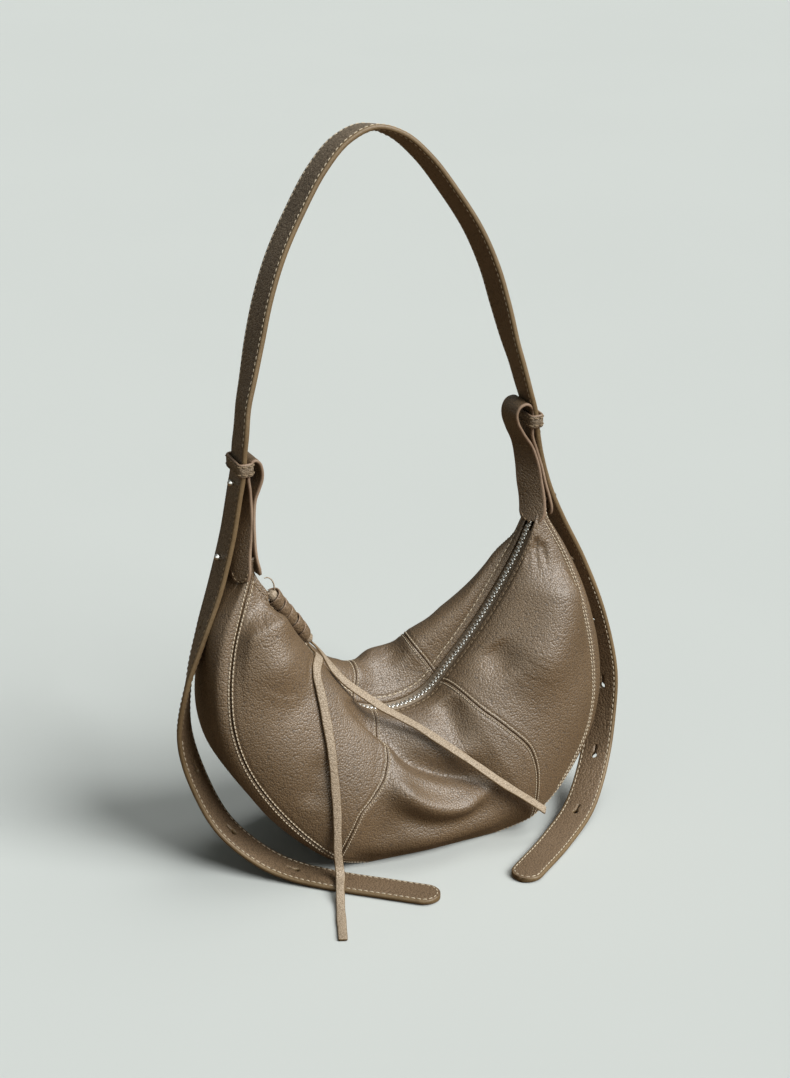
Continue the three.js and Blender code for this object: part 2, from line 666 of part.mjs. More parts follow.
// The tabs: a strip folded into a teardrop loop, its two leaves either side of the horn.
const tabUpper = [
  [115.2, 264], [112.4, 281], [110.3, 294], [110.3, 305], [110.3, 316.5], [108.6, 321], [104, 323.2],
  [99.4, 320], [97.6, 310], [100.8, 295], [107.2, 280],
];
const tabLower = {
  left: {
    end: 0,
    wrap: 0.024,
    rise: [[118, 243]],
    fall: [[111.2, 264], [113.2, 248], [113.2, 236], [112.4, 229]],
  },
  right: {
    end: 1,
    wrap: 0.976,
    rise: [[119.6, 249]],
    fall: [[111.6, 266], [114.6, 252], [115.4, 243], [114.8, 236.6]],
  },
};
function tabStrip(name) {
  const side = sides[name];
  const { end, wrap, rise, fall } = tabLower[name];
  const hug = (u) => gussetPoint(u, 0).addScaledVector(gussetOut(u, 0), tabThick / 2 + 0.9);
  const knots = [
    hug(wrap), hug((wrap + end) / 2), hug(end),
    ...[...rise, ...tabUpper, ...fall].map(([x, z]) => new THREE.Vector3(side * x, 0, z)),
  ];
  const path = new THREE.CatmullRomCurve3(knots, false, 'centripetal').getSpacedPoints(52);
  const across = new THREE.Vector3(0, 1, 0);
  const low = hug(end).z;
  const last = path.length - 1;
  const rings = path.map((at, i) => {
    const along = path[Math.min(last, i + 1)].clone().sub(path[Math.max(0, i - 1)]).normalize();
    const face = along.cross(across).normalize();
    const f = Math.min(1, Math.max(0, (at.z - low) / (290 - low)));
    const back = Math.min(at.distanceTo(path[0]), at.distanceTo(path[last])) + 2.5;
    const half = roundedHalf(tabWidth / 2, back);
    const place = at.clone().setY(strapY * f * f * (3 - 2 * f));
    return stripRing({ at: place, across, face, half, thick: tabThick / 2 });
  });
  return sweepRings(rings);
}

// The keepers: closed bands round the strap and the outer leaf of the tab loop.
function roundedFrame(path, x, y, halfX, halfY, radius) {
  path.moveTo(x - halfX + radius, y - halfY);
  path.lineTo(x + halfX - radius, y - halfY);
  path.absarc(x + halfX - radius, y - halfY + radius, radius, -Math.PI / 2, 0);
  path.absarc(x + halfX - radius, y + halfY - radius, radius, 0, Math.PI / 2);
  path.absarc(x - halfX + radius, y + halfY - radius, radius, Math.PI / 2, Math.PI);
  path.absarc(x - halfX + radius, y - halfY + radius, radius, Math.PI, 1.5 * Math.PI);
  return path;
}
const bandInner = strapX - halfThick - tabThick - 0.6;
const bandOuter = strapX + halfThick + 0.3;
const bandHalf = (bandOuter - bandInner) / 2;
for (const [name, side] of Object.entries(sides)) {
  addPiece(`tab_${name}`, tabStrip(name), leatherBody);
  const x = (side * (bandInner + bandOuter)) / 2;
  const inside = halfStrap + 0.4;
  const wall = keeperWall;
  const band = roundedFrame(new THREE.Shape(), x, strapY, bandHalf + wall, inside + wall, 2);
  band.holes.push(roundedFrame(new THREE.Path(), x, strapY, bandHalf, inside, 0.5));
  const options = { depth: keeperTall, bevelEnabled: false, curveSegments: 3 };
  const keeper = new THREE.ExtrudeGeometry(band, options).translate(0, 0, keeperLow);
  addPiece(`keeper_${name}`, keeper, leatherStrap);
}

// Two flat laces hang from the lower end of the wound pull and lie over the front of the bag.
const laceRoutes = {
  left: [
    [-68.6, -0.3, 163.7], [-67.1, -3, 161.5], [-66.6, -8, 160.6], [-66.3, -13, 160.9],
    [-67.7, -18, 161], [-70.4, -22.6, 160], [-72.9, -26.8, 158], [-74.4, -31, 152.4],
    [-73.8, -35, 144.4], [-73, -43.9, 124.3], [-72.5, -51.6, 103], [-72.8, -57.4, 81.5],
    [-72.7, -61.1, 58.2], [-73.2, -62.6, 38], [-73.2, -63, 24], [-72.6, -64, 13.6],
    [-73.6, -68.2, 7.6], [-77, -75.7, 6], [-79.8, -82.6, 5], [-83.2, -91, 2.4],
    [-87, -100.6, 1.3], [-93, -116.6, 1.1], [-99.7, -134.8, 1.1],
  ],
  right: [
    [-66.3, 0.3, 165.3], [-63.9, -1.8, 162.8], [-61.1, -6.6, 158.8], [-58.2, -12.8, 153],
    [-54.6, -18.4, 146.6], [-47, -22, 137.6], [-36, -24.6, 127.6], [-21, -29, 115],
    [0, -35.6, 100.4], [17, -46, 87.6], [36, -57, 72.4], [58, -63.4, 53], [72, -65.4, 41.4],
    [82, -66.2, 33], [93, -66.4, 23.2],
  ],
};
const laceTurn = 42;
const laceFacing = new THREE.Vector3(0, -0.8, 0.6);
const laceSection = [
  [0.5, 0.2], [0.4, 0.5], [-0.4, 0.5], [-0.5, 0.2], [-0.5, -0.2], [-0.4, -0.5], [0.4, -0.5], [0.5, -0.2],
];
// A lace leaves the pull flat on the zip, then faces forward where it hangs and up where it lies.
function flatLace(route) {
  const knots = route.map((p) => new THREE.Vector3(...p));
  const curve = new THREE.CatmullRomCurve3(knots, false, 'centripetal');
  const total = curve.getLength();
  const steps = Math.round(total / (1.6 * laceWidth));
  const rings = spread(0, 1, steps).map((f) => {
    const at = curve.getPointAt(f);
    const along = curve.getTangentAt(f);
    const turned = Math.min(1, (f * total) / laceTurn);
    const facing = new THREE.Vector3(0, 0, 1).lerp(laceFacing, Math.abs(along.z));
    const face = legUp.clone().lerp(facing, turned * turned * (3 - 2 * turned));
    face.addScaledVector(along, -face.dot(along)).normalize();
    const across = along.clone().cross(face);
    return laceSection.map(([a, b]) => at.clone()
      .addScaledVector(across, a * laceWidth)
      .addScaledVector(face, b * laceThick));
  });
  return sweepRings(rings);
}
for (const [name, route] of Object.entries(laceRoutes)) {
  addPiece(`lace_${name}`, flatLace(route), leatherLace);
}

export default group;
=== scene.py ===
import math

import bmesh
import bpy
import numpy as np
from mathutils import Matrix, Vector


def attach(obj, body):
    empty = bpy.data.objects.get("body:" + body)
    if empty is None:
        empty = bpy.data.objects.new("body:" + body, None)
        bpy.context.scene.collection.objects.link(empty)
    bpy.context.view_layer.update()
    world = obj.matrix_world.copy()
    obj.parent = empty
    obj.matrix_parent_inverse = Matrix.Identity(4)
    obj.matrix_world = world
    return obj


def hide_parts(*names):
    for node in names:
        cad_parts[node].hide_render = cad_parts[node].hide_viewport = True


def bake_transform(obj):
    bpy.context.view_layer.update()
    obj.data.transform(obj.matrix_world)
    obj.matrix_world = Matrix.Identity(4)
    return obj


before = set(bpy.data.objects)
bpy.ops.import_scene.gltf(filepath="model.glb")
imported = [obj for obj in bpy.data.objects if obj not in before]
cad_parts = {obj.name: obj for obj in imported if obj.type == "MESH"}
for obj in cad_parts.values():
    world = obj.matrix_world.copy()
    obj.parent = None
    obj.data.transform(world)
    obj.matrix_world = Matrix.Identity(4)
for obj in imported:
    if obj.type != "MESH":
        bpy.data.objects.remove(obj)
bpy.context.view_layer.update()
scene = bpy.context.scene
chance = np.random.default_rng(11)
mm = 0.001  # shapes are worked out in millimetres and stored in metres


# camera at the angle of the photograph

cameraLook = {"azimuth": -24.0, "elevation": 24.0, "distance": 1.8, "target": (0, 0, 0.2345), "lens": 83.49}


def addCamera(look):
    turn = math.radians(look["azimuth"])
    rise = math.radians(look["elevation"])
    away = Vector((math.sin(turn) * math.cos(rise), -math.cos(turn) * math.cos(rise), math.sin(rise)))
    data = bpy.data.cameras.new("camera")
    data.lens = look["lens"]
    data.sensor_fit = "VERTICAL"
    data.sensor_height = 36
    view = bpy.data.objects.new("camera", data)
    view.location = Vector(look["target"]) + look["distance"] * away
    view.rotation_euler = away.to_track_quat("Z", "Y").to_euler()
    scene.collection.objects.link(view)
    scene.camera = view


addCamera(cameraLook)
print("camera set")


# small helpers for lines, sheets and swept strips

def unit(v):
    return v / np.maximum(np.linalg.norm(v, axis=-1, keepdims=True), 1e-9)


def ease(x):
    x = np.clip(x, 0, 1)
    return x * x * (3 - 2 * x)


def swell(d, width):
    return np.exp(-((d / width) ** 2))


def throughKnots(knots, values, x):
    knots = np.array(knots, float)
    values = np.array(values, float)
    gap = np.diff(knots)
    slope = np.diff(values) / gap
    both = slope[:-1] * slope[1:]
    total = np.where(both > 0, slope[:-1] + slope[1:], 1)
    middle = np.where(both > 0, 2 * both / total, 0)
    tangent = np.concatenate([slope[:1], middle, slope[-1:]])
    i = np.clip(np.searchsorted(knots, x, side="left") - 1, 0, len(gap) - 1)
    f = np.clip((x - knots[i]) / gap[i], 0, 1)
    low = (1 + 2 * f) * (1 - f) ** 2 * values[i] + f * (1 - f) ** 2 * gap[i] * tangent[i]
    high = f * f * (3 - 2 * f) * values[i + 1] + f * f * (f - 1) * gap[i] * tangent[i + 1]
    return low + high


# a smooth line through points, cut into equal steps
def curveThrough(points, count):
    p = np.array(points, float)
    p = np.vstack([2 * p[0] - p[1], p, 2 * p[-1] - p[-2]])
    t = np.linspace(0, 1, 40, endpoint=False)[:, None]
    pieces = []
    for a, b, c, d in zip(p, p[1:], p[2:], p[3:]):
        g0, g1, g2 = (max(1e-6, np.linalg.norm(q)) ** 0.5 for q in (b - a, c - b, d - c))
        m1 = ((b - a) / g0 - (c - a) / (g0 + g1) + (c - b) / g1) * g1
        m2 = ((c - b) / g1 - (d - b) / (g1 + g2) + (d - c) / g2) * g1
        pieces.append(b + m1 * t + (3 * (c - b) - 2 * m1 - m2) * t ** 2 + (2 * (b - c) + m1 + m2) * t ** 3)
    return resample(np.vstack(pieces + [p[-2:-1]]), count)


def lengths(line):
    return np.concatenate([[0], np.cumsum(np.linalg.norm(np.diff(line, axis=0), axis=1))])


def pick(line, sums, where):
    return np.stack([np.interp(where, sums, line[:, k]) for k in range(line.shape[1])], -1)


def resample(line, count):
    sums = lengths(line)
    return pick(line, sums, np.linspace(0, sums[-1], count + 1))


def directions(line):
    return unit(np.gradient(line, axis=0))


def squareTo(v, along):
    return unit(v - (v * along).sum(-1, keepdims=True) * along)


# the nearest point of a line to each of many points: its number, and the way from it to the point
def nearestOn(line, points):
    gap = points[:, None] - line[None]
    near = np.argmin((gap ** 2).sum(-1), axis=1)
    return near, gap[np.arange(len(points)), near]


# a line that is read by its length and runs on straight past both ends
class LengthLine:
    def __init__(self, points):
        self.points = np.array(points, float)
        self.sums = lengths(self.points)
        self.total = self.sums[-1]

    def at(self, s):
        s = np.asarray(s, float)
        first = unit(self.points[1] - self.points[0])
        last = unit(self.points[-1] - self.points[-2])
        inside = pick(self.points, self.sums, s)
        before = np.minimum(s, 0)[..., None] * first
        return inside + before + np.maximum(s - self.total, 0)[..., None] * last

    def along(self, s):
        s = np.asarray(s, float)
        return unit(self.at(s + 1.2) - self.at(s - 1.2))

    def lengthAtX(self, x, start):
        s = np.arange(start, self.total, 0.05)
        return s[np.argmax(self.at(s)[:, 0] >= x)]


def meshPiece(name, points, faces, finishes, faceFinish=None):
    mesh = bpy.data.meshes.new(name)
    mesh.from_pydata((np.asarray(points).reshape(-1, 3) * mm).tolist(), [], faces)
    for finish in finishes:
        mesh.materials.append(finish)
    if faceFinish is not None:
        mesh.polygons.foreach_set("material_index", np.asarray(faceFinish, np.int32))
    mesh.polygons.foreach_set("use_smooth", np.ones(len(mesh.polygons), bool))
    work = bmesh.new()
    work.from_mesh(mesh)
    bmesh.ops.recalc_face_normals(work, faces=work.faces)
    work.to_mesh(mesh)
    work.free()
    piece = bpy.data.objects.new(name, mesh)
    scene.collection.objects.link(piece)
    return piece


# faces that join a run of equal rings; a ring's points pair up across its thickness, which closes the ends
def loftFaces(ringCount, ringSize, closed=False):
    i = np.arange(ringCount if closed else ringCount - 1)[:, None]
    k = np.arange(ringSize)[None, :]
    nextRing = (i + 1) % ringCount
    nextPoint = (k + 1) % ringSize
    near = i * ringSize
    far = nextRing * ringSize
    faces = np.stack([near + k, near + nextPoint, far + nextPoint, far + k], -1).reshape(-1, 4).tolist()
    kinds = np.broadcast_to(k, (len(i), ringSize)).reshape(-1).tolist()
    if not closed:
        for base in (0, (ringCount - 1) * ringSize):
            for a in range(ringSize // 2 - 1):
                faces.append([base + a, base + a + 1, base + ringSize - 2 - a, base + ringSize - 1 - a])
                kinds.append(0)
    return faces, np.array(kinds)


def loftPiece(name, rings, finishes, sideFinish=None, closed=False):
    rings = np.asarray(rings, float)
    faces, kinds = loftFaces(rings.shape[0], rings.shape[1], closed)
    faceFinish = None if sideFinish is None else np.asarray(sideFinish)[kinds]
    return meshPiece(name, rings, faces, finishes, faceFinish)


# a closed section from the left half of its upper face, and which finish each of its sides has
def mirroredSection(halfTop, thick):
    top = halfTop + [(-a, b) for a, b in reversed(halfTop[:-1])]
    return np.array(top + [(a, -b) for a, b in reversed(top)]) * (1, thick)


def sectionKinds(section, edge, back):
    rim = [1] * edge
    middle = len(section) // 2 - 1 - 2 * edge
    return rim + [0] * middle + rim + [1] + rim + [back] * middle + rim + [1]


def joinShapes(shapes):
    points = []
    faces = []
    count = 0
    for shapePoints, shapeFaces in shapes:
        shapePoints = np.asarray(shapePoints, float).reshape(-1, 3)
        points.append(shapePoints)
        faces.extend([[count + v for v in face] for face in shapeFaces])
        count += len(shapePoints)
    return np.vstack(points), faces


def place(piece, body, slot, *nodes):
    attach(piece, body)
    dress(piece, slot, *nodes)


def dress(piece, slot, *nodes):
    if nodes:
        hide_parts(*nodes)


# finishes

def tint(red, green, blue):
    shares = [c / 255 for c in (red, green, blue)]
    return tuple(c / 12.92 if c < 0.04 else ((c + 0.055) / 1.055) ** 2.4 for c in shares) + (1.0,)


def feed(tree, socket, value):
    if isinstance(value, bpy.types.NodeSocket):
        tree.links.new(value, socket)
    else:
        socket.default_value = value


def addNode(tree, kind, settings, inputs):
    node = tree.nodes.new("ShaderNode" + kind)
    for key, value in settings.items():
        setattr(node, key, value)
    for key, value in inputs.items():
        feed(tree, node.inputs[key], value)
    return node


def mixColours(tree, factor, first, second):
    return addNode(tree, "Mix", {"data_type": "RGBA"}, {0: factor, 6: first, 7: second}).outputs[2]


def spanOf(tree, value, low, high, toLow, toHigh):
    inputs = {"Value": value, "From Min": low, "From Max": high, "To Min": toLow, "To Max": toHigh}
    return addNode(tree, "MapRange", {"interpolation_type": "SMOOTHSTEP"}, inputs).outputs["Result"]


def mathNode(tree, how, first, second=0.0, third=0.0):
    return addNode(tree, "Math", {"operation": how}, {0: first, 1: second, 2: third}).outputs[0]


def vectorNode(tree, how, inputs):
    return addNode(tree, "VectorMath", {"operation": how}, inputs).outputs[0]


def noiseOf(tree, where, scale, detail, output="Fac"):
    return addNode(tree, "TexNoise", {}, {"Vector": where, "Scale": scale, "Detail": detail}).outputs[output]


def newFinish(name, constants):
    finish = bpy.data.materials.new(name)
    finish.use_nodes = True
    shader = finish.node_tree.nodes["Principled BSDF"]
    for key, value in constants.items():
        shader.inputs[key].default_value = value
    return finish, finish.node_tree, shader


def objectPlace(tree):
    return addNode(tree, "TexCoord", {}, {}).outputs["Object"]


def raiseBy(tree, shader, height, strength, depth):
    inputs = {"Height": height, "Strength": strength, "Distance": depth * mm}
    tree.links.new(addNode(tree, "Bump", {}, inputs).outputs["Normal"], shader.inputs["Normal"])


# pebbled leather: uneven cells, sunk lines between them, fine pores, and lighter and darker patches; the
# sunk lines are also darkened in colour, partly the leather's own darker grooves and partly painted shade,
# and the pale specks are partly paler leather and partly painted highlights
pebbles = {
    "sway": 260.0, "push": 0.9, "cells": 1000.0, "crown": 1.6, "gap": 0.16, "pores": 1700.0,
    "poreDeep": 0.22, "deep": 0.18, "patches": 16.0, "speckAndGlintScale": 420.0, "gapRough": 0.14,
}


def leatherFinish(name, look):
    finish, tree, shader = newFinish(name, {"Specular IOR Level": look["gloss"]})
    where = objectPlace(tree)
    sway = noiseOf(tree, where, pebbles["sway"] / look["grain"], 1.0, "Color")
    sway = vectorNode(tree, "SUBTRACT", {0: sway, 1: (0.5, 0.5, 0.5)})
    push = vectorNode(tree, "SCALE", {0: sway, "Scale": pebbles["push"] * mm * look["grain"]})
    moved = vectorNode(tree, "ADD", {0: where, 1: push})
    cellInputs = {"Vector": moved, "Scale": pebbles["cells"] / look["grain"], "Randomness": 1.0}
    cells = addNode(tree, "TexVoronoi", {"feature": "DISTANCE_TO_EDGE"}, cellInputs).outputs["Distance"]
    middle = addNode(tree, "TexVoronoi", {"feature": "F1"}, cellInputs).outputs["Distance"]
    slope = mathNode(tree, "MULTIPLY", middle, mathNode(tree, "MULTIPLY", middle, pebbles["crown"]))
    pebble = mathNode(tree, "SUBTRACT", 1.0, slope)
    gap = spanOf(tree, cells, 0.0, pebbles["gap"], 0.0, 1.0)
    pores = noiseOf(tree, where, pebbles["pores"], 3.0)
    height = mathNode(tree, "MULTIPLY_ADD", pores, pebbles["poreDeep"], pebble)
    raiseBy(tree, shader, height, look["bump"], pebbles["deep"] * look["grain"])
    patch = spanOf(tree, noiseOf(tree, where, pebbles["patches"], 4.0), 0.3, 0.7, 0.0, 1.0)
    dye = mixColours(tree, patch, tint(*look["dark"]), tint(*look["light"]))
    # pale specks scattered over the colour: in part paler spots in the leather, in part painted highlights
    # of the grain
    speckAndGlint = spanOf(tree, noiseOf(tree, where, pebbles["speckAndGlintScale"], 2.0), 0.35, 0.72, 0.0, look["speckAndGlint"])
    dye = mixColours(tree, speckAndGlint, dye, tint(*look["speckAndGlintColour"]))
    # the grooves between the pebbles are darkened in colour: in part the leather's own darker grooves, in
    # part painted shade in the grooves
    line = spanOf(tree, gap, 0.0, 1.0, 1.0 - look["lines"], 1.0)
    feed(tree, shader.inputs["Base Color"], mixColours(tree, line, tint(*look["grooveDyeAndShade"]), dye))
    rough = spanOf(tree, gap, 0.0, 1.0, look["rough"] + pebbles["gapRough"], look["rough"])
    feed(tree, shader.inputs["Roughness"], rough)
    return finish


# in each look, lines and grooveDyeAndShade set how much and how dark the grooves are painted, partly painted
# shade
bodyLook = {
    "grain": 1.4, "bump": 0.85, "gloss": 0.9, "rough": 0.43, "dark": (108, 87, 61), "light": (121, 98, 70),
    "speckAndGlint": 0.12, "speckAndGlintColour": (142, 119, 90), "lines": 0.75, "grooveDyeAndShade": (58, 44, 29),
}
# the strap face's strong pale specks stand for the highlights on its grain: painted highlights on top of
# paler spots
strapLook = {
    "grain": 1.4, "bump": 0.9, "gloss": 0.55, "rough": 0.44, "dark": (122, 106, 86),
    "light": (144, 126, 104), "speckAndGlint": 0.5, "speckAndGlintColour": (186, 169, 145), "lines": 0.75,
    "grooveDyeAndShade": (56, 44, 31),
}
strapBackLook = {
    "grain": 1.7, "bump": 0.8, "gloss": 0.5, "rough": 0.42, "dark": (120, 99, 75), "light": (134, 112, 87),
    "speckAndGlint": 0.1, "speckAndGlintColour": (150, 129, 103), "lines": 0.6, "grooveDyeAndShade": (66, 52, 35),
}
laceLook = {
    "grain": 1.4, "bump": 0.9, "gloss": 0.4, "rough": 0.48, "dark": (168, 150, 126),
    "light": (186, 168, 144), "speckAndGlint": 0.35, "speckAndGlintColour": (206, 191, 169), "lines": 0.65,
    "grooveDyeAndShade": (104, 88, 69),
}
edgeLook = {
    "grain": 0.9, "bump": 0.3, "gloss": 0.5, "rough": 0.42, "dark": (112, 92, 64),
    "light": (130, 108, 77), "speckAndGlint": 0.3, "speckAndGlintColour": (150, 129, 96), "lines": 0.2,
    "grooveDyeAndShade": (86, 69, 46),
}
paleEdgeLook = {
    "grain": 0.9, "bump": 0.3, "gloss": 0.45, "rough": 0.5, "dark": (140, 116, 95),
    "light": (160, 136, 113), "speckAndGlint": 0.3, "speckAndGlintColour": (176, 154, 132), "lines": 0.2,
    "grooveDyeAndShade": (110, 89, 71),
}
bodyLeather = leatherFinish("body_leather", bodyLook)
strapLeather = leatherFinish("strap_leather_face", strapLook)
strapBack = leatherFinish("strap_leather_back", strapBackLook)
laceLeather = leatherFinish("lace_leather", laceLook)
edgePaint = leatherFinish("painted_edge", edgeLook)
paleEdge = leatherFinish("cut_edge", paleEdgeLook)


# waxed thread: two plies that show as light and dark along each stitch
def threadFinish(name, pale, deep):
    finish, tree, shader = newFinish(name, {"Roughness": 0.62, "Specular IOR Level": 0.35})
    ply = spanOf(tree, noiseOf(tree, objectPlace(tree), 1900.0, 2.0), 0.35, 0.65, 0.0, 1.0)
    feed(tree, shader.inputs["Base Color"], mixColours(tree, ply, tint(*deep), tint(*pale)))
    raiseBy(tree, shader, ply, 0.5, 0.1)
    return finish


creamThread = threadFinish("cream_thread", (226, 214, 190), (194, 178, 150))
taupeThread = threadFinish("taupe_thread", (158, 139, 112), (122, 104, 80))


# polished metal with faint handling marks
def metalFinish(name, dye, rough):
    finish, tree, shader = newFinish(name, {"Metallic": 1.0})
    where = objectPlace(tree)
    cloud = noiseOf(tree, where, 220.0, 3.0)
    dull = [c - 16 for c in dye]
    feed(tree, shader.inputs["Base Color"], mixColours(tree, cloud, tint(*dull), tint(*dye)))
    feed(tree, shader.inputs["Roughness"], spanOf(tree, cloud, 0.3, 0.75, rough, rough + 0.16))
    raiseBy(tree, shader, noiseOf(tree, where, 2600.0, 2.0), 0.12, 0.05)
    return finish


silver = metalFinish("polished_silver", (226, 225, 221), 0.16)
toothSilver = metalFinish("tooth_silver", (236, 235, 231), 0.34)


# woven cloth; the tape's weave turns back on itself in a herringbone, the lining's runs straight
def clothFinish(name, look):
    settings = {"Roughness": 0.85, "Specular IOR Level": 0.2, "Sheen Weight": 0.15}
    finish, tree, shader = newFinish(name, settings)
    uv = addNode(tree, "UVMap", {"uv_map": "weave"}, {}).outputs["UV"]
    parts = addNode(tree, "SeparateXYZ", {}, {0: uv}).outputs
    across = mathNode(tree, "MULTIPLY", parts[1], 1 / (look["thread"] * mm))
    zigzag = mathNode(tree, "PINGPONG", mathNode(tree, "MULTIPLY", parts[0], 1 / (look["turn"] * mm)), 1.0)
    slant = mathNode(tree, "MULTIPLY_ADD", zigzag, look["slant"], across)
    rib = mathNode(tree, "SINE", mathNode(tree, "MULTIPLY", slant, 2 * math.pi))
    rib = spanOf(tree, rib, -0.8, 0.9, 0.0, 1.0)
    cloud = mathNode(tree, "MULTIPLY", noiseOf(tree, objectPlace(tree), 900.0, 3.0), 0.35)
    dye = mixColours(tree, rib, tint(*look["dark"]), tint(*look["light"]))
    feed(tree, shader.inputs["Base Color"], mixColours(tree, cloud, dye, tint(*look["dark"])))
    raiseBy(tree, shader, rib, 0.6, 0.12)
    return finish


tapeLook = {"thread": 0.8, "turn": 1.4, "slant": 1.6, "dark": (134, 118, 98), "light": (200, 184, 160)}
liningLook = {"thread": 0.6, "turn": 0.6, "slant": 0.5, "dark": (66, 58, 50), "light": (84, 75, 66)}
tapeCloth = clothFinish("tape_herringbone", tapeLook)
liningCloth = clothFinish("lining_weave", liningLook)
print("finishes made")


# stitches: short rounded bars that dip at both ends, laid along a line on a surface

stitchForm = {
    "run": [-0.5, -0.46, -0.3, 0.0, 0.3, 0.46, 0.5], "fat": [0.25, 0.7, 0.95, 1.0, 0.95, 0.7, 0.25],
    "lift": [-0.55, -0.2, 0.3, 0.5, 0.3, -0.2, -0.55], "sides": 6, "lowest": 0.05,
}


def stitchShapes(line, normals, stitch):
    sums = lengths(line)
    dash = stitch["dash"]
    count = max(1, int((sums[-1] - dash) / stitch["pitch"]))
    middles = (sums[-1] - count * stitch["pitch"]) / 2 + stitch["pitch"] * (np.arange(count) + 0.5)
    ahead = pick(line, sums, np.minimum(middles + dash / 2, sums[-1]))
    back = pick(line, sums, np.maximum(middles - dash / 2, 0))
    along = unit(ahead - back)
    up = squareTo(pick(normals, sums, middles), along)
    side = np.cross(along, up)
    run = np.array(stitchForm["run"]) * dash
    fat = np.array(stitchForm["fat"])[:, None] * stitch["radius"]
    lift = np.array(stitchForm["lift"])[:, None] * stitch["radius"]
    sides = stitchForm["sides"]
    turn = (np.arange(sides) + 0.5) * 2 * math.pi / sides
    points = pick(line, sums, middles)[:, None, None] + run[None, :, None, None] * along[:, None, None]
    points = points + (lift + fat * np.sin(turn))[None, ..., None] * up[:, None, None]
    points = points + (fat * np.cos(turn))[None, ..., None] * side[:, None, None]
    faces, _ = loftFaces(len(run), sides)
    return [(shape, faces) for shape in points]


def stitchPiece(name, rows, finish):
    shapes = []
    for line, normals, stitch in rows:
        shapes.extend(stitchShapes(np.asarray(line), np.asarray(normals), stitch))
    points, faces = joinShapes(shapes)
    points[:, 2] = np.maximum(points[:, 2], stitchForm["lowest"])
    return meshPiece(name, points, faces, [finish])


seamStitch = {"pitch": 2.1, "dash": 1.6, "radius": 0.33}
gussetStitch = {"pitch": 3.1, "dash": 2.4, "radius": 0.46}
lipStitch = {"pitch": 4.3, "dash": 3.3, "radius": 0.45}
strapStitch = {"pitch": 4.4, "dash": 3.1, "radius": 0.38}


# the laces are free cords, so they come first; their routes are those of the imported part

lace = {
    "width": 6.6, "thick": 1.8, "turn": 42.0, "facing": (0, -0.8, 0.6), "step": 1.6, "clear": 2.0,
    "follows": {"left": 0.13, "right": 0.4},
}
laceRoutes = {
    "left": [
        (-68.6, -0.3, 163.7), (-67.1, -3, 161.5), (-66.6, -8, 160.6), (-66.3, -13, 160.9),
        (-67.7, -18, 161), (-70.4, -22.6, 160), (-72.9, -26.8, 158), (-74.4, -31, 152.4),
        (-73.8, -35, 144.4), (-73, -43.9, 124.3), (-72.5, -51.6, 103), (-72.8, -57.4, 81.5),
        (-72.7, -61.1, 58.2), (-73.2, -62.6, 38), (-73.2, -63, 24), (-72.6, -64, 13.6), (-73.6, -68.2, 7.6),
        (-77, -75.7, 6), (-79.8, -82.6, 5), (-83.2, -91, 2.4), (-87, -100.6, 1.3), (-93, -116.6, 1.1),
        (-99.7, -134.8, 1.1),
    ],
    "right": [
        (-66.3, 0.3, 165.3), (-63.9, -1.8, 162.8), (-61.1, -6.6, 158.8), (-58.2, -12.8, 153),
        (-54.6, -18.4, 146.6), (-47, -22, 137.6), (-36, -24.6, 127.6), (-21, -29, 115), (0, -35.6, 100.4),
        (17, -46, 87.6), (36, -57, 72.4), (58, -63.4, 53), (72, -65.4, 41.4), (82, -66.2, 33),
        (93, -66.4, 23.2),
    ],
}
zipLeft = np.array([-110.0, 0.0, 219.0])
legAlong = unit(np.array([57.0, 0.0, -83.8]))
legUp = np.array([-legAlong[2], 0.0, legAlong[0]])


def laceRings(route):
    total = lengths(curveThrough(route, 800))[-1]
    line = curveThrough(route, int(total / lace["step"]))
    along = directions(line)
    s = lengths(line)
    level = np.array([0, 0, 1.0])
    facing = level + np.abs(along[:, 2:]) * (np.array(lace["facing"]) - level)
    face = squareTo(legUp + ease(s / lace["turn"])[:, None] * (facing - legUp), along)
    across = np.cross(along, face)
    half = lace["width"] / 2
    halfTop = [(-half, 0.3), (-half + 0.35, 0.8), (-half + 1, 1), (0, 0.94)]
    section = mirroredSection(halfTop, lace["thick"] / 2)
    wobble = 1 + 0.05 * np.sin(s / 9.0) + 0.03 * np.sin(s / 3.7 + 1)
    wobble[0] = wobble[-1] = 0.96
    wide = section[None, :, :1] * across[:, None] * wobble[:, None, None]
    rings = line[:, None] + wide + section[None, :, 1:] * face[:, None]
    return line, rings, total, sectionKinds(section, 1, 0)


laceLines = []
for name, route in laceRoutes.items():
    line, rings, total, kinds = laceRings(route)
    laceLines.append(line)
    piece = loftPiece("lace_" + name + "_strip", rings, [laceLeather, edgePaint], kinds)
    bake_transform(piece)
    dress(piece, "lace_leather", "lace_" + name)
print("laces laid")


# the bag's own lines: u runs from the left horn to the right horn, v from the bottom seam up to the lip

zipKnots = [
    (-53, 135.2), (-44, 122), (-30, 107.8), (-15, 101.6), (0, 100.2), (14, 102.7), (26, 108.7),
    (42, 126.3), (63.7, 152.2), (84, 182.3), (98.5, 207.6), (109.6, 232.6),
]
seamLeftKnots = [
    (-115.4, 223.7), (-124.6, 202), (-133, 177), (-138.2, 150), (-138.5, 122), (-131.5, 94),
    (-115, 64), (-90, 33), (-66, 13), (-40, 5),
]
seamRightKnots = [
    (60, 5), (82, 10), (106, 26), (124, 46.5), (138, 70), (145.4, 96), (146.5, 125), (144, 151),
    (139, 178), (130, 204.5), (118.5, 230),
]
zipLine = LengthLine(np.vstack([[zipLeft[[0, 2]]], curveThrough(zipKnots, 120)]))
seamLine = LengthLine(np.vstack([curveThrough(seamLeftKnots, 90), curveThrough(seamRightKnots, 90)]))
ribs = [0, 0.36, 0.5, 0.64, 1]
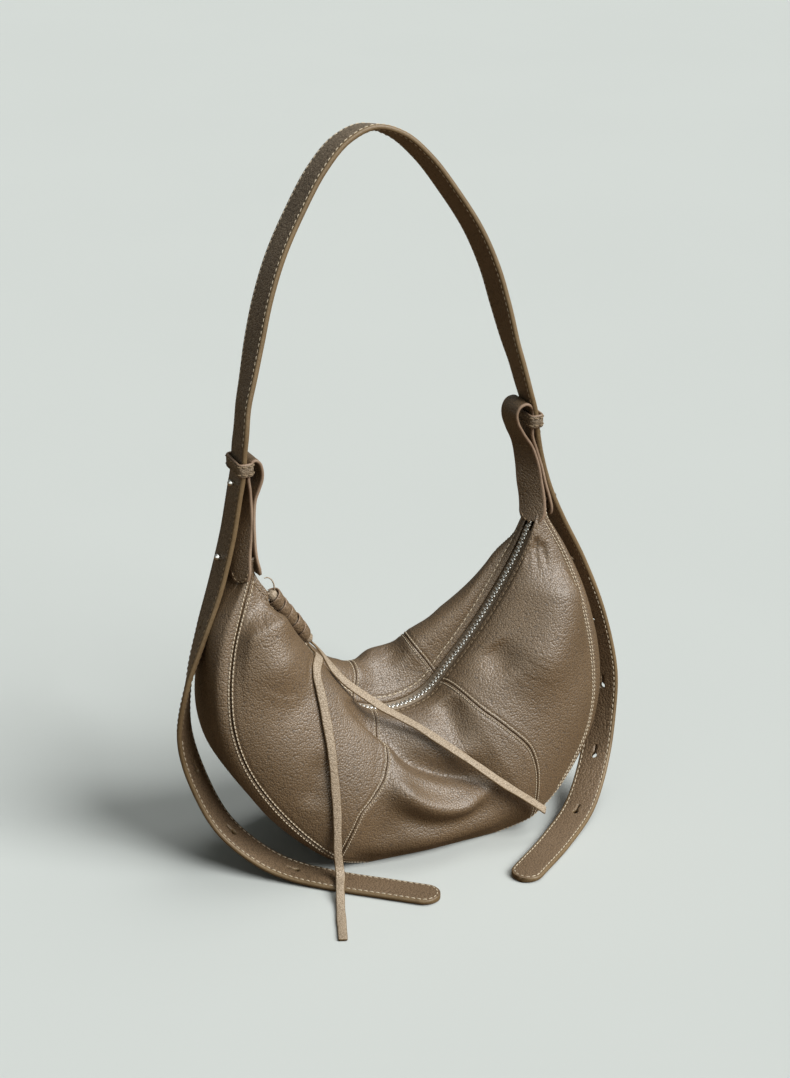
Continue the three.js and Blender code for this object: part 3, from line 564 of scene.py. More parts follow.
seamRibs = [0] + [seamLine.lengthAtX(x, 190) for x in (-68, 8, 87)] + [seamLine.total]
zipRibs = [0] + [zipLine.lengthAtX(x, 0) for x in (-33, 0, 36)] + [zipLine.total]
depthKnots = [0, 0.06, 0.12, 0.19, 0.26, 0.36, 0.5, 0.64, 0.74, 0.81, 0.88, 0.94, 1]
depthValues = {
    -1: [9, 17, 27, 37, 46, 55, 58, 55, 46, 37, 27, 17, 9],
    1: [18, 23, 30, 38, 46, 55, 58, 55, 46, 38, 29, 22, 16],
}
swellValues = [3, 6, 8, 9, 9, 6, 5, 6, 11, 11, 9, 6, 3]
crestKnots = [0, 0.3, 0.5, 0.7, 1]
crestValues = {-1: [30, 24, 8, 4, 4], 1: [50, 66, 94, 86, 68]}
form = {
    "lip": 7.0, "bulge": 22.0, "bulgeAt": 0.42, "grows": 40.0, "shoulder": 0.72, "crested": 0.12,
    "rim": 15.0, "rimMost": 0.92, "crestHigh": 0.9, "crestLow": 0.35, "gussetEdge": 0.28, "gussetFoot": 5.0,
}
under = {"below": 14.0, "over": 9.0, "inwards": 10.0, "down": 4.2}
flare = {"out": -7.0, "over": 0.07, "from": 0.25}  # the back corner of the left horn stands out


def inSpace(flat, y):
    return np.stack([flat[..., 0], y, flat[..., 1]], -1)


# how far the seam of panel and gusset is rolled under the bag
def rolledUnder(foot):
    return ease((under["below"] - foot[..., 1]) / under["over"])


def cornerOut(u):
    return np.array([flare["out"], 0]) * swell(u, flare["over"])[..., None]


def panelPoint(side, u, v):
    u, v = np.broadcast_arrays(np.asarray(u, float), np.asarray(v, float))
    low = seamLine.at(throughKnots(ribs, seamRibs, u))
    if side > 0:
        low = low + cornerOut(u)
    rolled = rolledUnder(low)
    low = low - rolled[..., None] * np.array([0, under["down"]])
    high = zipLine.at(throughKnots(ribs, zipRibs, u))
    long = np.linalg.norm(high - low, axis=-1)
    rise = (high - low) / long[..., None]
    depth = throughKnots(depthKnots, depthValues[side], u)
    lip = np.minimum(form["lip"], 0.75 * depth)
    bulge = form["bulge"] * np.minimum(1, depth / form["grows"]) * np.minimum(1, long / form["grows"])
    crest = np.sin(np.pi * np.clip(u, 0, 1)) ** 2 * throughKnots(crestKnots, crestValues[side], u)
    shoulder = depth * (form["shoulder"] + form["crested"] * np.minimum(1, crest / form["grows"]))
    rim = np.minimum(form["rim"] + form["crested"] * crest, form["rimMost"] * depth)
    heights = [
        0 * long, form["bulgeAt"] * long, long + form["crestHigh"] * crest,
        long + form["crestLow"] * crest, long,
    ]
    depths = [depth - under["inwards"] * rolled, depth + bulge, shoulder, rim, lip]
    w = 1 - v
    weights = [w ** 4, 4 * w ** 3 * v, 6 * w * w * v * v, 4 * w * v ** 3, v ** 4]
    h = sum(a * b for a, b in zip(weights, heights))
    y = sum(a * b for a, b in zip(weights, depths))
    return inSpace(low + rise * h[..., None], side * y)


def gussetPoint(u, w):
    u, w = np.broadcast_arrays(np.asarray(u, float), np.asarray(w, float))
    room = np.minimum(1, (1 - np.abs(w)) / form["gussetEdge"])
    room = room * (2 - room)
    s = throughKnots(ribs, seamRibs, u)
    foot = seamLine.at(s)
    along = seamLine.along(s)
    flat = foot[..., 1] < form["gussetFoot"] + 0.01
    out = np.where(flat[..., None], np.array([0, -1.0]), np.stack([along[..., 1], -along[..., 0]], -1))
    reach = np.where(flat, form["gussetFoot"], throughKnots(depthKnots, swellValues, u)) * room
    rolled = rolledUnder(foot)
    point = foot - rolled[..., None] * np.array([0, under["down"]]) + out * reach[..., None]
    point = point + cornerOut(u) * ease((w + flare["from"]) / (1 + flare["from"]))[..., None]
    point[..., 1] = np.maximum(0, point[..., 1])
    front, back = (throughKnots(depthKnots, depthValues[side], u) for side in (-1, 1))
    depth = np.where(w < 0, front, back)
    return inSpace(point, w * (depth - under["inwards"] * rolled))


def outwards(shapeAt, u, v, low, high):
    step = 0.004
    du = shapeAt(np.minimum(1, u + step), v) - shapeAt(np.maximum(0, u - step), v)
    dv = shapeAt(u, np.minimum(high, v + step)) - shapeAt(u, np.maximum(low, v - step))
    return unit(np.cross(du, dv))


def panelOut(side, u, v):
    return -side * outwards(lambda a, b: panelPoint(side, a, b), u, v, 0, 1)


def gussetOut(u, w):
    return -outwards(gussetPoint, u, w, -1, 1)


# folds pressed into the leather: height out of the surface, widths on its upper and lower side, the shares
# of its length over which each end fades, and its path in (u, v)

folds = {
    -1: [
        ((-10, 14, 5, 0.22, 0.16), [
            (0.285, 0.7), (0.3, 0.65), (0.37, 0.63), (0.428, 0.565), (0.464, 0.465), (0.496, 0.41),
            (0.536, 0.35), (0.582, 0.29), (0.618, 0.22),
        ]),
        ((10, 8, 11, 0.4, 0.2), [
            (0.4, 0.42), (0.432, 0.34), (0.488, 0.255), (0.538, 0.215), (0.58, 0.215), (0.612, 0.225),
        ]),
        ((-3.5, 7, 9, 0.3, 0.25), [
            (0.41, 0.27), (0.432, 0.245), (0.5, 0.16), (0.55, 0.155), (0.598, 0.19), (0.62, 0.21),
        ]),
        ((-2.2, 10, 10, 0.4, 0.3), [(0.268, 0.33), (0.272, 0.255), (0.278, 0.175), (0.288, 0.09)]),
        ((10, 20, 24, 0.3, 0.4), [
            (0.03, 0.3), (0.048, 0.315), (0.086, 0.375), (0.126, 0.385), (0.2, 0.38),
        ]),
        ((4, 11, 11, 0.25, 0.25), [(0.35, 0.1), (0.42, 0.09), (0.5, 0.085), (0.58, 0.09), (0.65, 0.1)]),
        ((-4, 13, 13, 0.4, 0.4), [(0.755, 0.72), (0.75, 0.65), (0.746, 0.56), (0.736, 0.45)]),
        ((8, 22, 22, 0.3, 0.3), [(0.95, 0.12), (0.86, 0.26), (0.788, 0.33), (0.72, 0.36)]),
        ((-4.5, 10, 10, 0.3, 0.4), [(0.61, 0.76), (0.606, 0.7), (0.594, 0.545), (0.584, 0.4)]),
        ((-2.6, 3.2, 3.2, 0.3, 0.5), [(0.975, 0.62), (0.955, 0.55), (0.93, 0.5), (0.9, 0.47)]),
        ((-2, 2.8, 2.8, 0.3, 0.5), [(0.97, 0.4), (0.945, 0.37), (0.92, 0.36)]),
        ((-2, 3, 3, 0.3, 0.5), [(0.96, 0.8), (0.935, 0.72), (0.91, 0.66)]),
        ((3.5, 8, 9, 0.3, 0.5), [(0.02, 0.55), (0.045, 0.55), (0.08, 0.58), (0.12, 0.6)]),
    ],
    1: [
        ((6, 12, 18, 0.25, 0.2), [
            (0.52, 0.81), (0.6, 0.81), (0.7, 0.8), (0.8, 0.78), (0.92, 0.74), (0.96, 0.7),
        ]),
        ((4, 12, 16, 0.35, 0.4), [(0.26, 0.84), (0.32, 0.84), (0.38, 0.84), (0.43, 0.83), (0.47, 0.82)]),
        ((-2, 12, 14, 0.35, 0.4), [(0.45, 0.8), (0.43, 0.66), (0.4, 0.5), (0.37, 0.3)]),
        ((-2.5, 9, 11, 0.35, 0.4), [(0.56, 0.86), (0.55, 0.74), (0.54, 0.6)]),
        ((-4, 13, 13, 0.35, 0.35), [(0.74, 0.7), (0.7, 0.5), (0.66, 0.34), (0.6, 0.24)]),
        ((4, 12, 12, 0.3, 0.3), [(0.3, 0.22), (0.42, 0.16), (0.55, 0.17), (0.68, 0.24)]),
    ],
}


def foldHeight(side, points):
    flat = points.reshape(-1, 3)
    total = np.zeros(len(flat))
    for (height, upper, lower, start, end), knots in folds[side]:
        path = curveThrough(knots, 70)
        line = panelPoint(side, path[:, 0], path[:, 1])
        above = np.cross(panelOut(side, path[:, 0], path[:, 1]), directions(line)) * -side
        near, gap = nearestOn(line, flat)
        onUpper = ease(0.5 + (gap * above[near]).sum(-1) / 4.0)
        t = near / (len(line) - 1)
        fade = ease(t / start) * ease((1 - t) / end)
        total += height * fade * swell(np.linalg.norm(gap, axis=-1), lower + (upper - lower) * onUpper)
    return total.reshape(points.shape[:-1])


lumpTurns = chance.normal(size=(9, 3))
lumpWaves = unit(lumpTurns) / chance.uniform(9.0, 20.0, size=(9, 1))
lumpPhase = chance.uniform(0, 6.28, size=9)


# slow, shallow unevenness that a soft hide has everywhere
def lumps(points):
    return 0.16 * np.sin(points @ lumpWaves.T + lumpPhase).sum(-1)


# how far the leather gives way where a lace lies on it
def pressedBy(points, normals):
    flat = points.reshape(-1, 3)
    facing = normals.reshape(-1, 3)
    press = np.zeros(len(flat))
    for line in laceLines:
        near, gap = nearestOn(line, flat)
        over = -(gap * facing).sum(-1)
        aside = np.linalg.norm(gap + over[:, None] * facing, axis=-1)
        meets = np.abs(over) < 14
        press = np.maximum(press, meets * np.maximum(0, lace["clear"] - over) * ease((10 - aside) / 5.5))
    return press.reshape(points.shape[:-1])


def edgeSpread(long, step):
    close = np.array([0, 0.3, 0.6, 0.95, 1.35, 1.8, 2.3, 2.9, 3.6, 4.4, 5.3])
    middle = np.linspace(close[-1], long - close[-1], max(3, int((long - 2 * close[-1]) / step)))
    return np.concatenate([close[:-1], middle, (long - close[:-1])[::-1]]) / long


def seamRoll(d, radius):
    d = np.minimum(d, radius)
    return -(radius - np.sqrt(np.maximum(0, radius ** 2 - (radius - d) ** 2)))


def stepLengths(grid, axis):
    step = np.linalg.norm(np.diff(grid, axis=axis), axis=-1)
    start = np.zeros_like(np.take(step, [0], axis=axis))
    return np.concatenate([start, np.cumsum(step, axis=axis)], axis=axis)


def gridNormals(grid):
    return unit(np.cross(np.gradient(grid, axis=0), np.gradient(grid, axis=1)))


# where a line at a set distance from one edge of a sheet runs; rows are counted from that edge
def lineFromEdge(grid, normals, edge, distance):
    if edge in ("left", "right"):
        grid = grid.transpose(1, 0, 2)
        normals = normals.transpose(1, 0, 2)
    if edge in ("high", "right"):
        grid = grid[:, ::-1]
        normals = normals[:, ::-1]
    away = stepLengths(grid, 1)
    line = []
    facing = []
    for i in range(len(grid)):
        where = min(distance, 0.45 * away[i, -1])
        line.append(pick(grid[i], away[i], where))
        facing.append(pick(normals[i], away[i], where))
    return np.array(line), unit(np.array(facing))


body = {
    "leather": 2.0, "lipThick": 2.4, "roll": 1.3, "stitchOff": 2.4, "lipOff": 4.0, "dip": 0.3, "step": 1.35,
    "seamLift": 0.22, "lipRound": 6, "sewnAbove": {"left": 7.0, "centre": 99.0, "right": 30.0},
}
seamPaths = {
    (-1, "first"): (
        [0, 0.055, 0.19, 0.295, 0.385, 0.46, 0.595, 1],
        [0.357, 0.356, 0.36, 0.38, 0.398, 0.406, 0.406, 0.398],
    ),
    (-1, "second"): (
        [0, 0.06, 0.175, 0.235, 0.365, 0.54, 0.905, 1],
        [0.642, 0.656, 0.682, 0.688, 0.678, 0.658, 0.634, 0.63],
    ),
    (1, "first"): ([0, 0.4, 0.8, 1], [0.36, 0.372, 0.376, 0.37]),
    (1, "second"): ([0, 0.3, 0.7, 0.96, 1], [0.64, 0.63, 0.624, 0.632, 0.633]),
}
sideNames = {-1: "front", 1: "back"}
partNames = ("left", "centre", "right")
panelWide = {"left": 190, "centre": 150, "right": 190}
panelTall = 130
lipRise = {"height": 5.0, "from": 7.0, "fade": 10.0}  # the front lip stands up where it hides the slider
horns = {
    "rows": 9, "thin": 2.0, "wide": 8.0,
    "left": {"sign": -1, "at": (-114.6, 2.0, 243.0), "turn": 26, "back": 18.0, "drop": 5.0},
    "right": {"sign": 1, "at": (115.0, 2.0, 248.0), "turn": 25, "back": 13.0, "drop": 11.0},
}


# a place in the flat gathered end of a horn, between the leaves of its tab
def gathered(horn, thin, wide):
    turn = math.radians(horn["turn"])
    flat = np.array([math.cos(turn), math.sin(turn), 0])
    along = np.array([-math.sin(turn), math.cos(turn), 0])
    down = np.array([0, 0, horn["drop"]]) * (np.maximum(0, wide) / horn["back"])[..., None] ** 2
    return np.array(horn["at"]) + thin[..., None] * flat + wide[..., None] * along - down


def panelPinch(horn, side, v):
    edge = horns["wide"] if side < 0 else horn["back"]
    wide = edge + 1.5 * np.sin(np.pi * v) - (edge - 1.0) * ease((v - 0.5) / 0.5)
    return gathered(horn, horn["sign"] * horns["thin"] * (1 - 2 * v), side * wide)


def gussetPinch(horn, w):
    wide = np.where(w < 0, horns["wide"], horn["back"]) * w
    return gathered(horn, horn["sign"] * (horns["thin"] + 0.6 * (1 - w * w)), wide)


# rows added before the first row of a sheet, which draw it together to the end of its horn
def drawnTogether(grid, ends):
    first = grid[0]
    reach = 0.45 * np.linalg.norm(ends - first, axis=-1, keepdims=True)
    handle = first + reach * unit(grid[0] - grid[5])
    t = np.linspace(1, 0, horns["rows"], endpoint=False)[:, None, None]
    rows = (1 - t) ** 2 * first + 2 * t * (1 - t) * handle + t * t * ends
    return np.concatenate([rows, grid])


# the leather sinks along a row of stitches and stands up beside it
def seamRelief(d, off, crest):
    beside = swell(d - crest, 1.1) + 0.8 * swell(d - off - 2.6, 1.9)
    return body["seamLift"] * beside - body["dip"] * swell(d - off, 0.8)


def panelGrid(side, part):
    t = edgeSpread(panelWide[part], body["step"])[:, None]
    v = edgeSpread(panelTall, body["step"])[None, :]
    seams = [throughKnots(*seamPaths[side, which], v) for which in ("first", "second")]
    seams = [0 * v] + seams + [0 * v + 1]
    first = seams[partNames.index(part)]
    last = seams[partNames.index(part) + 1]
    u, v = np.broadcast_arrays(first + (last - first) * t, v)
    base = panelPoint(side, u, v)
    normal = panelOut(side, u, v)
    low = stepLengths(base, 1)
    over = stepLengths(base, 0)
    high = low[:, -1:] - low
    tall = np.minimum(1, low[:, -1:] / 30)
    lift = (foldHeight(side, base) * ease(low / 14) * ease(high / 10) + lumps(base)) * tall
    seamed = []
    if part != "left":
        seamed.append(over)
    if part != "right":
        seamed.append(over[-1:] - over)
    for d in seamed:
        lift = lift + tall * seamRoll(d, body["roll"]) * 0.8
    for d in [low] + seamed:
        lift = lift + tall * seamRelief(d, body["stitchOff"], 0.55 * body["stitchOff"])
    lift = lift - body["dip"] * tall * swell(high - body["lipOff"], 0.9)
    lift = lift + 0.45 * tall * (swell(high - 1.6, 1.5) + 0.7 * swell(high - body["lipOff"] - 2.8, 2.2))
    grid = base + lift[..., None] * normal
    if side < 0:
        grid = grid - pressedBy(grid, normal)[..., None] * normal
        start = throughKnots(ribs, zipRibs, u)
        raised = lipRise["height"] * (1 - ease((start - lipRise["from"]) / lipRise["fade"]))
        grid = grid + (raised * ease((v - 0.6) / 0.4))[..., None] * legUp
    # the bottom edge turns in towards the gusset, both along the same line
    foot = unit(panelOut(side, u[:, :1], 0 * u[:, :1]) + gussetOut(u[:, :1], side + 0 * u[:, :1]))
    near = ease(1 - low / body["roll"])[..., None]
    turned = unit(foot * near + normal * (1 - near))
    grid = grid + (seamRoll(low, body["roll"]) * tall)[..., None] * turned
    lead = 0
    tail = 0
    if part == "left":
        lead = horns["rows"]
        grid = drawnTogether(grid, panelPinch(horns["left"], side, v[0]))
        normal = np.concatenate([np.repeat(normal[:1], lead, 0), normal])
        high = np.concatenate([np.repeat(high[:1], lead, 0), high])
    if part == "right":
        tail = horns["rows"]
        grid = drawnTogether(grid[::-1], panelPinch(horns["right"], side, v[0]))[::-1]
        normal = np.concatenate([normal, np.repeat(normal[-1:], tail, 0)])
        high = np.concatenate([high, np.repeat(high[-1:], tail, 0)])
    normals = gridNormals(grid)
    normals = normals * np.sign((normals * normal).sum(-1, keepdims=True))
    return grid, normals, high, slice(lead, len(grid) - tail)


def panelRings(grid, normals, high):
    thick = body["leather"] + (body["lipThick"] - body["leather"]) * swell(high, 6.0)
    inner = grid - thick[..., None] * normals
    edge = grid[:, -1]
    out = normals[:, -1]
    ahead = unit(edge - grid[:, -3])
    radius = thick[:, -1] / 2
    mid = edge - radius[:, None] * out
    turns = np.linspace(0, math.pi, body["lipRound"] + 2)[1:-1]
    rounded = np.stack([
        mid + radius[:, None] * (math.cos(a) * out + math.sin(a) * ahead) for a in turns
    ], 1)
    return np.concatenate([grid, rounded, inner[:, ::-1]], 1)


bodyStitches = []
lipStitches = []
liningGrids = {}
lining = {"inside": 3.8, "thick": 0.8}
for side, sideName in sideNames.items():
    liningParts = []
    for part in partNames:
        grid, normals, high, core = panelGrid(side, part)
        piece = loftPiece(f"{sideName}_panel_{part}", panelRings(grid, normals, high), [bodyLeather])
        place(piece, "bag", "body_leather", f"panel_{sideName}_{part}")
        row, facing = lineFromEdge(grid, normals, "low", body["stitchOff"])
        shown = row[:, 2] > body["sewnAbove"][part]
        if shown.any():
            bodyStitches.append((row[shown], facing[shown], gussetStitch))
        lipRow = (*lineFromEdge(grid, normals, "high", body["lipOff"]), lipStitch)
        (lipStitches if side < 0 else bodyStitches).append(lipRow)
        if part != "left":
            bodyStitches.append((*lineFromEdge(grid, normals, "left", body["stitchOff"]), seamStitch))
        if part != "right":
            bodyStitches.append((*lineFromEdge(grid, normals, "right", body["stitchOff"]), seamStitch))
        keep = slice(1, None) if part != "left" else slice(None)
        liningParts.append((grid - lining["inside"] * normals)[core][keep])
    liningGrids[side] = np.concatenate(liningParts)
print("panels made")


# the gusset: one strip round the side and base, flat where the bag stands

gusset = {
    "columns": 430, "wide": 90, "step": 2.2, "stitchOff": 2.5, "crest": 2.0, "floor": 0.25, "full": 7.0,
    "fullAt": 0.06, "fullOver": 0.045,
}


def gussetGrid():
    u = np.linspace(0, 1, gusset["columns"])[:, None]
    w = 2 * edgeSpread(gusset["wide"], gusset["step"])[None, :] - 1
    u, w = np.broadcast_arrays(u, w)
    base = gussetPoint(u, w)
    normal = gussetOut(u, w)
    over = stepLengths(base, 1)
    near = np.minimum(over, over[:, -1:] - over)
    small = np.minimum(1, over[:, -1:] / 40)
    lift = lumps(base) * ease(near / 10) * small
    lift = lift + gusset["full"] * swell(u - gusset["fullAt"], gusset["fullOver"]) * (1 - w * w)
    lift = lift + small * seamRelief(near, gusset["stitchOff"], gusset["crest"])
    grid = base + lift[..., None] * normal
    front, back = (unit(panelOut(side, u, 0 * u) + gussetOut(u, 0 * u + side)) for side in (-1, 1))
    foot = np.where(w[..., None] < 0, front, back)
    turning = ease(1 - near / body["roll"])[..., None]
    turned = unit(foot * turning + normal * (1 - turning))
    grid = grid + (seamRoll(near, body["roll"]) * small)[..., None] * turned
    grid[..., 2] = np.maximum(grid[..., 2], gusset["floor"])
    grid = drawnTogether(grid, gussetPinch(horns["left"], w[0]))
    grid = drawnTogether(grid[::-1], gussetPinch(horns["right"], w[0]))[::-1]
    rows = horns["rows"]
    normal = np.concatenate([np.repeat(normal[:1], rows, 0), normal, np.repeat(normal[-1:], rows, 0)])
    normals = gridNormals(grid)
    return grid, normals * np.sign((normals * normal).sum(-1, keepdims=True))


grid, normals = gussetGrid()
inner = grid - body["leather"] * normals
piece = loftPiece("gusset_strip", np.concatenate([grid, inner[:, ::-1]], 1), [bodyLeather])
place(piece, "bag", "body_leather", "gusset")
for edge in ("low", "high"):
    bodyStitches.append((*lineFromEdge(grid, normals, edge, gusset["stitchOff"]), gussetStitch))
place(stitchPiece("body_stitches", bodyStitches, creamThread), "bag", "body_leather")
place(stitchPiece("front_lip_stitches", lipStitches, taupeThread), "bag", "body_leather")
print("gusset and body stitches made")


# cloth sheets with a weave map: lining inside the leather, tapes beside the teeth

def weavePiece(name, outer, inner, finish):
    rings = np.concatenate([outer, inner[:, ::-1]], 1)
    piece = loftPiece(name, rings, [finish])
    along = stepLengths(outer, 0).mean(1)
    across = stepLengths(outer, 1).mean(0)
    flat = np.concatenate([across, across[::-1]])
    spots = np.stack(np.broadcast_arrays(along[:, None], flat[None, :]), -1).reshape(-1, 2) * mm
    layer = piece.data.uv_layers.new(name="weave")
    corners = np.zeros(len(piece.data.loops), np.int32)
    piece.data.loops.foreach_get("vertex_index", corners)
    layer.data.foreach_set("uv", spots[corners].astype(np.float32).reshape(-1))
    return piece


for side, sideName in sideNames.items():
    outer = liningGrids[side][6:-6:3, 2:-14:3]
    outNormal = gridNormals(outer)
    outNormal = outNormal * np.sign(outNormal[..., 1:2] * side)
    piece = weavePiece(f"{sideName}_lining", outer, outer - lining["thick"] * outNormal, liningCloth)
    place(piece, "bag", "lining_cloth", f"lining_{sideName}")
core = slice(14 + horns["rows"], -14 - horns["rows"], 3)
outer = (grid - lining["inside"] * normals)[core, 4:-4:2]
inner = (grid - (lining["inside"] + lining["thick"]) * normals)[core, 4:-4:2]
piece = weavePiece("gusset_lining", outer, inner, liningCloth)
place(piece, "bag", "lining_cloth", "lining_gusset")

zipper = {
    "tapeTop": 2.75, "tapeThick": 0.6, "tapeEdge": 2.9, "level": -2.8, "pitch": 3.5, "from": 3.2,
    "reach": 0.9, "partedTip": 0.42, "partedRun": 104.0, "rise": 1.7, "riseFrom": 84.0, "riseRun": 36.0,
    "straight": 96.0, "cord": 0.62, "cordOff": 2.3,
}
sideways = np.array([0, 1.0, 0])


def chainRise(s):
    return zipper["rise"] * ease((np.asarray(s) - zipper["riseFrom"]) / zipper["riseRun"])


def zipFrame(s):
    s = np.asarray(s, float)
    along = np.where((s < zipper["straight"])[..., None], legAlong[[0, 2]], zipLine.along(s))
    at = zipLine.at(s)
    up = np.stack([-along[..., 1], along[..., 0]], -1)
    flat = np.zeros(s.shape)
    return inSpace(at, flat), inSpace(along, flat), inSpace(up, flat)


for side, sideName in sideNames.items():
    u = np.linspace(0.025, 0.975, 320)
    layers = []
    for inset in (zipper["tapeTop"], zipper["tapeTop"] + zipper["tapeThick"]):
        rows = []
        for v in (0.9, 0.94, 0.97, 1.0):
            rows.append(panelPoint(side, u, v) - inset * panelOut(side, u, v + 0 * u))
        s = throughKnots(ribs, zipRibs, u)
        at, along, up = zipFrame(s)
        for y, share in ((5.2, 0.6), (4.2, 0.9), (zipper["tapeEdge"], 1.0)):
            sunk = (inset - share * chainRise(s))[:, None] * up
            rows.append(at - sunk + side * y * sideways)
        layers.append(np.stack(rows, 1))
    piece = weavePiece(f"{sideName}_tape", layers[0], layers[1], tapeCloth)
    place(piece, "bag", "tape_cloth", f"zip_tape_{sideName}")


# one tooth: rounded legs that clamp the tape, a waist and a rounded head that hooks between its neighbours
tooth = {
    "reach": [2.7, 2.58, 2.2, 1.7, 1.2, 0.75, 0.4, 0.13, 0.0],
    "wide": [0.35, 0.7, 0.88, 0.9, 0.82, 0.6, 0.66, 0.6, 0.3],
    "tall": [0.5, 0.95, 1.2, 1.2, 1.12, 1.0, 1.0, 0.85, 0.4], "sides": 10, "square": 0.6,
}


def toothRings(tip):
    legs = tooth["reach"][0]
    reach = tip + np.array(tooth["reach"]) * (legs - tip) / legs
    turn = (np.arange(tooth["sides"]) + 0.5) * 2 * math.pi / tooth["sides"]
    run, rise = (np.sign(q) * np.abs(q) ** tooth["square"] for q in (np.cos(turn), np.sin(turn)))
    return reach, np.array(tooth["wide"])[:, None] * run, np.array(tooth["tall"])[:, None] * rise


def zipTeeth(side):
    shift = 0.5 if side < 0 else 1.0
    places = np.arange(zipper["from"] + shift * zipper["pitch"], zipLine.total - 6, zipper["pitch"])
    at, along, up = zipFrame(places)
    shapes = []
    for i, s in enumerate(places):
        tip = zipper["partedTip"] if s < zipper["partedRun"] else -zipper["reach"]
        reach, run, rise = toothRings(tip)
        across = side * reach[:, None, None] * sideways
        rise = rise + zipper["level"] + chainRise(s)
        rings = at[i] + across + run[..., None] * along[i] + rise[..., None] * up[i]
        shapes.append((rings, loftFaces(*rings.shape[:2])[0]))
    # the corded edge of the tape that the legs bite on
    s = np.linspace(zipper["from"], zipLine.total - 5, 300)
    at, along, up = zipFrame(s)
    turn = (np.arange(8) * math.pi / 4)[None, :, None]
    mid = at + side * zipper["cordOff"] * sideways + (zipper["level"] + chainRise(s))[:, None] * up
    ring = np.cos(turn) * up[:, None] + np.sin(turn) * sideways
    cordShape = (mid[:, None] + zipper["cord"] * ring, loftFaces(len(s), turn.size)[0])
    points, faces = joinShapes(shapes + [cordShape])
    cordFaces = len(cordShape[1])
    return points, faces, [0] * (len(faces) - cordFaces) + [1] * cordFaces


for side, sideName in sideNames.items():
    points, faces, kinds = zipTeeth(side)
    piece = meshPiece(f"{sideName}_teeth", points, faces, [toothSilver, tapeCloth], kinds)
    piece.data.uv_layers.new(name="weave")
    place(piece, "bag", "silver", f"zip_teeth_{sideName}")


# rounded blocks in the frame of the zip: run along it, across in Y, and up from it
def blockShape(s, run, across, up, soft):
    at, along, rise = zipFrame(np.array(s))
    mid = [(a + b) / 2 for a, b in (run, across, up)]
    half = [(b - a) / 2 for a, b in (run, across, up)]
    soft = min(soft, 0.95 * min(half))
    levels = [(-1, 1.0), (-0.7, 0.3), (0, 0.0), (0, 0.0), (0.7, 0.3), (1, 1.0)]
    rings = []
    for i, (lift, inset) in enumerate(levels):
        z = mid[2] + (-half[2] + soft * (1 + lift) if i < 3 else half[2] - soft * (1 - lift))
        grow = soft * (1 - inset)
        ring = []
        for corner, (signX, signY) in enumerate(((1, 1), (-1, 1), (-1, -1), (1, -1))):
            for a in np.radians(corner * 90 + np.array([0, 30, 60, 90])):
                x = mid[0] + signX * (half[0] - soft) + grow * math.cos(a)
                y = mid[1] + signY * (half[1] - soft) + grow * math.sin(a)
                ring.append(at + along * x + y * sideways + rise * z)
        rings.append(ring)
    rings = np.array(rings)
    return rings, loftFaces(*rings.shape[:2])[0]


def blockPiece(name, s, blocks, bodyName, node):
    points, faces = joinShapes([blockShape(s, *block) for block in blocks])
    place(meshPiece(name, points, faces, [silver]), bodyName, "silver", node)


for sideName, across in (("front", (-3.2, -0.8)), ("back", (0.8, 3.2))):
    stop = [((-1.3, 1.3), across, (-4.1, -1.2), 0.6)]
    blockPiece(f"{sideName}_stop", 1.4, stop, "bag", f"zip_stop_{sideName}")
endStop = [((-1.9, 1.9), (-3.3, 3.3), (-2.5, 0.6), 0.7)]
blockPiece("end_stop", zipLine.total - 2.6, endStop, "bag", "zip_stop_end")

# two plates, the post between them, four rails, and the bridge that holds the pull
slider = {"at": 6.5, "run": (-5, 5), "wide": (-4.9, 4.9), "rails": ((-4.9, -3.7), (3.7, 4.9))}
sliderBlocks = [(slider["run"], slider["wide"], up, 0.65) for up in ((-0.9, 0.5), (-5.8, -4.4))]
sliderBlocks.append(((-5, -3.6), (-0.3, 0.3), (-4.6, -0.6), 0.1))
for up in ((-1.9, -0.6), (-4.6, -3.4)):
    sliderBlocks += [(slider["run"], rail, up, 0.4) for rail in slider["rails"]]
sliderBlocks += [(run, (-1.1, 1.1), (0.2, 3.9), 0.5) for run in ((-3.5, -2.1), (3.1, 4.5))]
sliderBlocks.append(((-3.4, 4.4), (-1.1, 1.1), (3.0, 4.2), 0.55))
blockPiece("slider", slider["at"], sliderBlocks, "zip_pull", "zip_slider")
print("zip made")


# the pull: a cord loop through the slider, and a leather strip wound round its core

pull = {
    "start": 13.2, "turns": 6, "pitch": 8.8, "level": 6.0, "aside": -1.2, "core": 3.9, "radius": 5.1,
    "steps": 48, "half": 4.25, "thick": 0.75, "overlap": 0.11,
}


def pullPoint(run, across, up):
    run, across, up = np.broadcast_arrays(*(np.asarray(q, float)[..., None] for q in (run, across, up)))
    return zipLeft + run * legAlong + up * legUp + across * sideways


def tubeShape(line, radii, sides):
    along = directions(line)
    first = unit(np.cross(np.array([0.31, 0.2, 0.93]), along))
    second = np.cross(along, first)
    turn = ((np.arange(sides) + 0.5) * 2 * math.pi / sides)[None, :, None]
    ring = np.cos(turn) * first[:, None] + np.sin(turn) * second[:, None]
    rings = line[:, None] + np.broadcast_to(radii, (len(line),))[:, None, None] * ring
    return rings, loftFaces(*rings.shape[:2])[0]


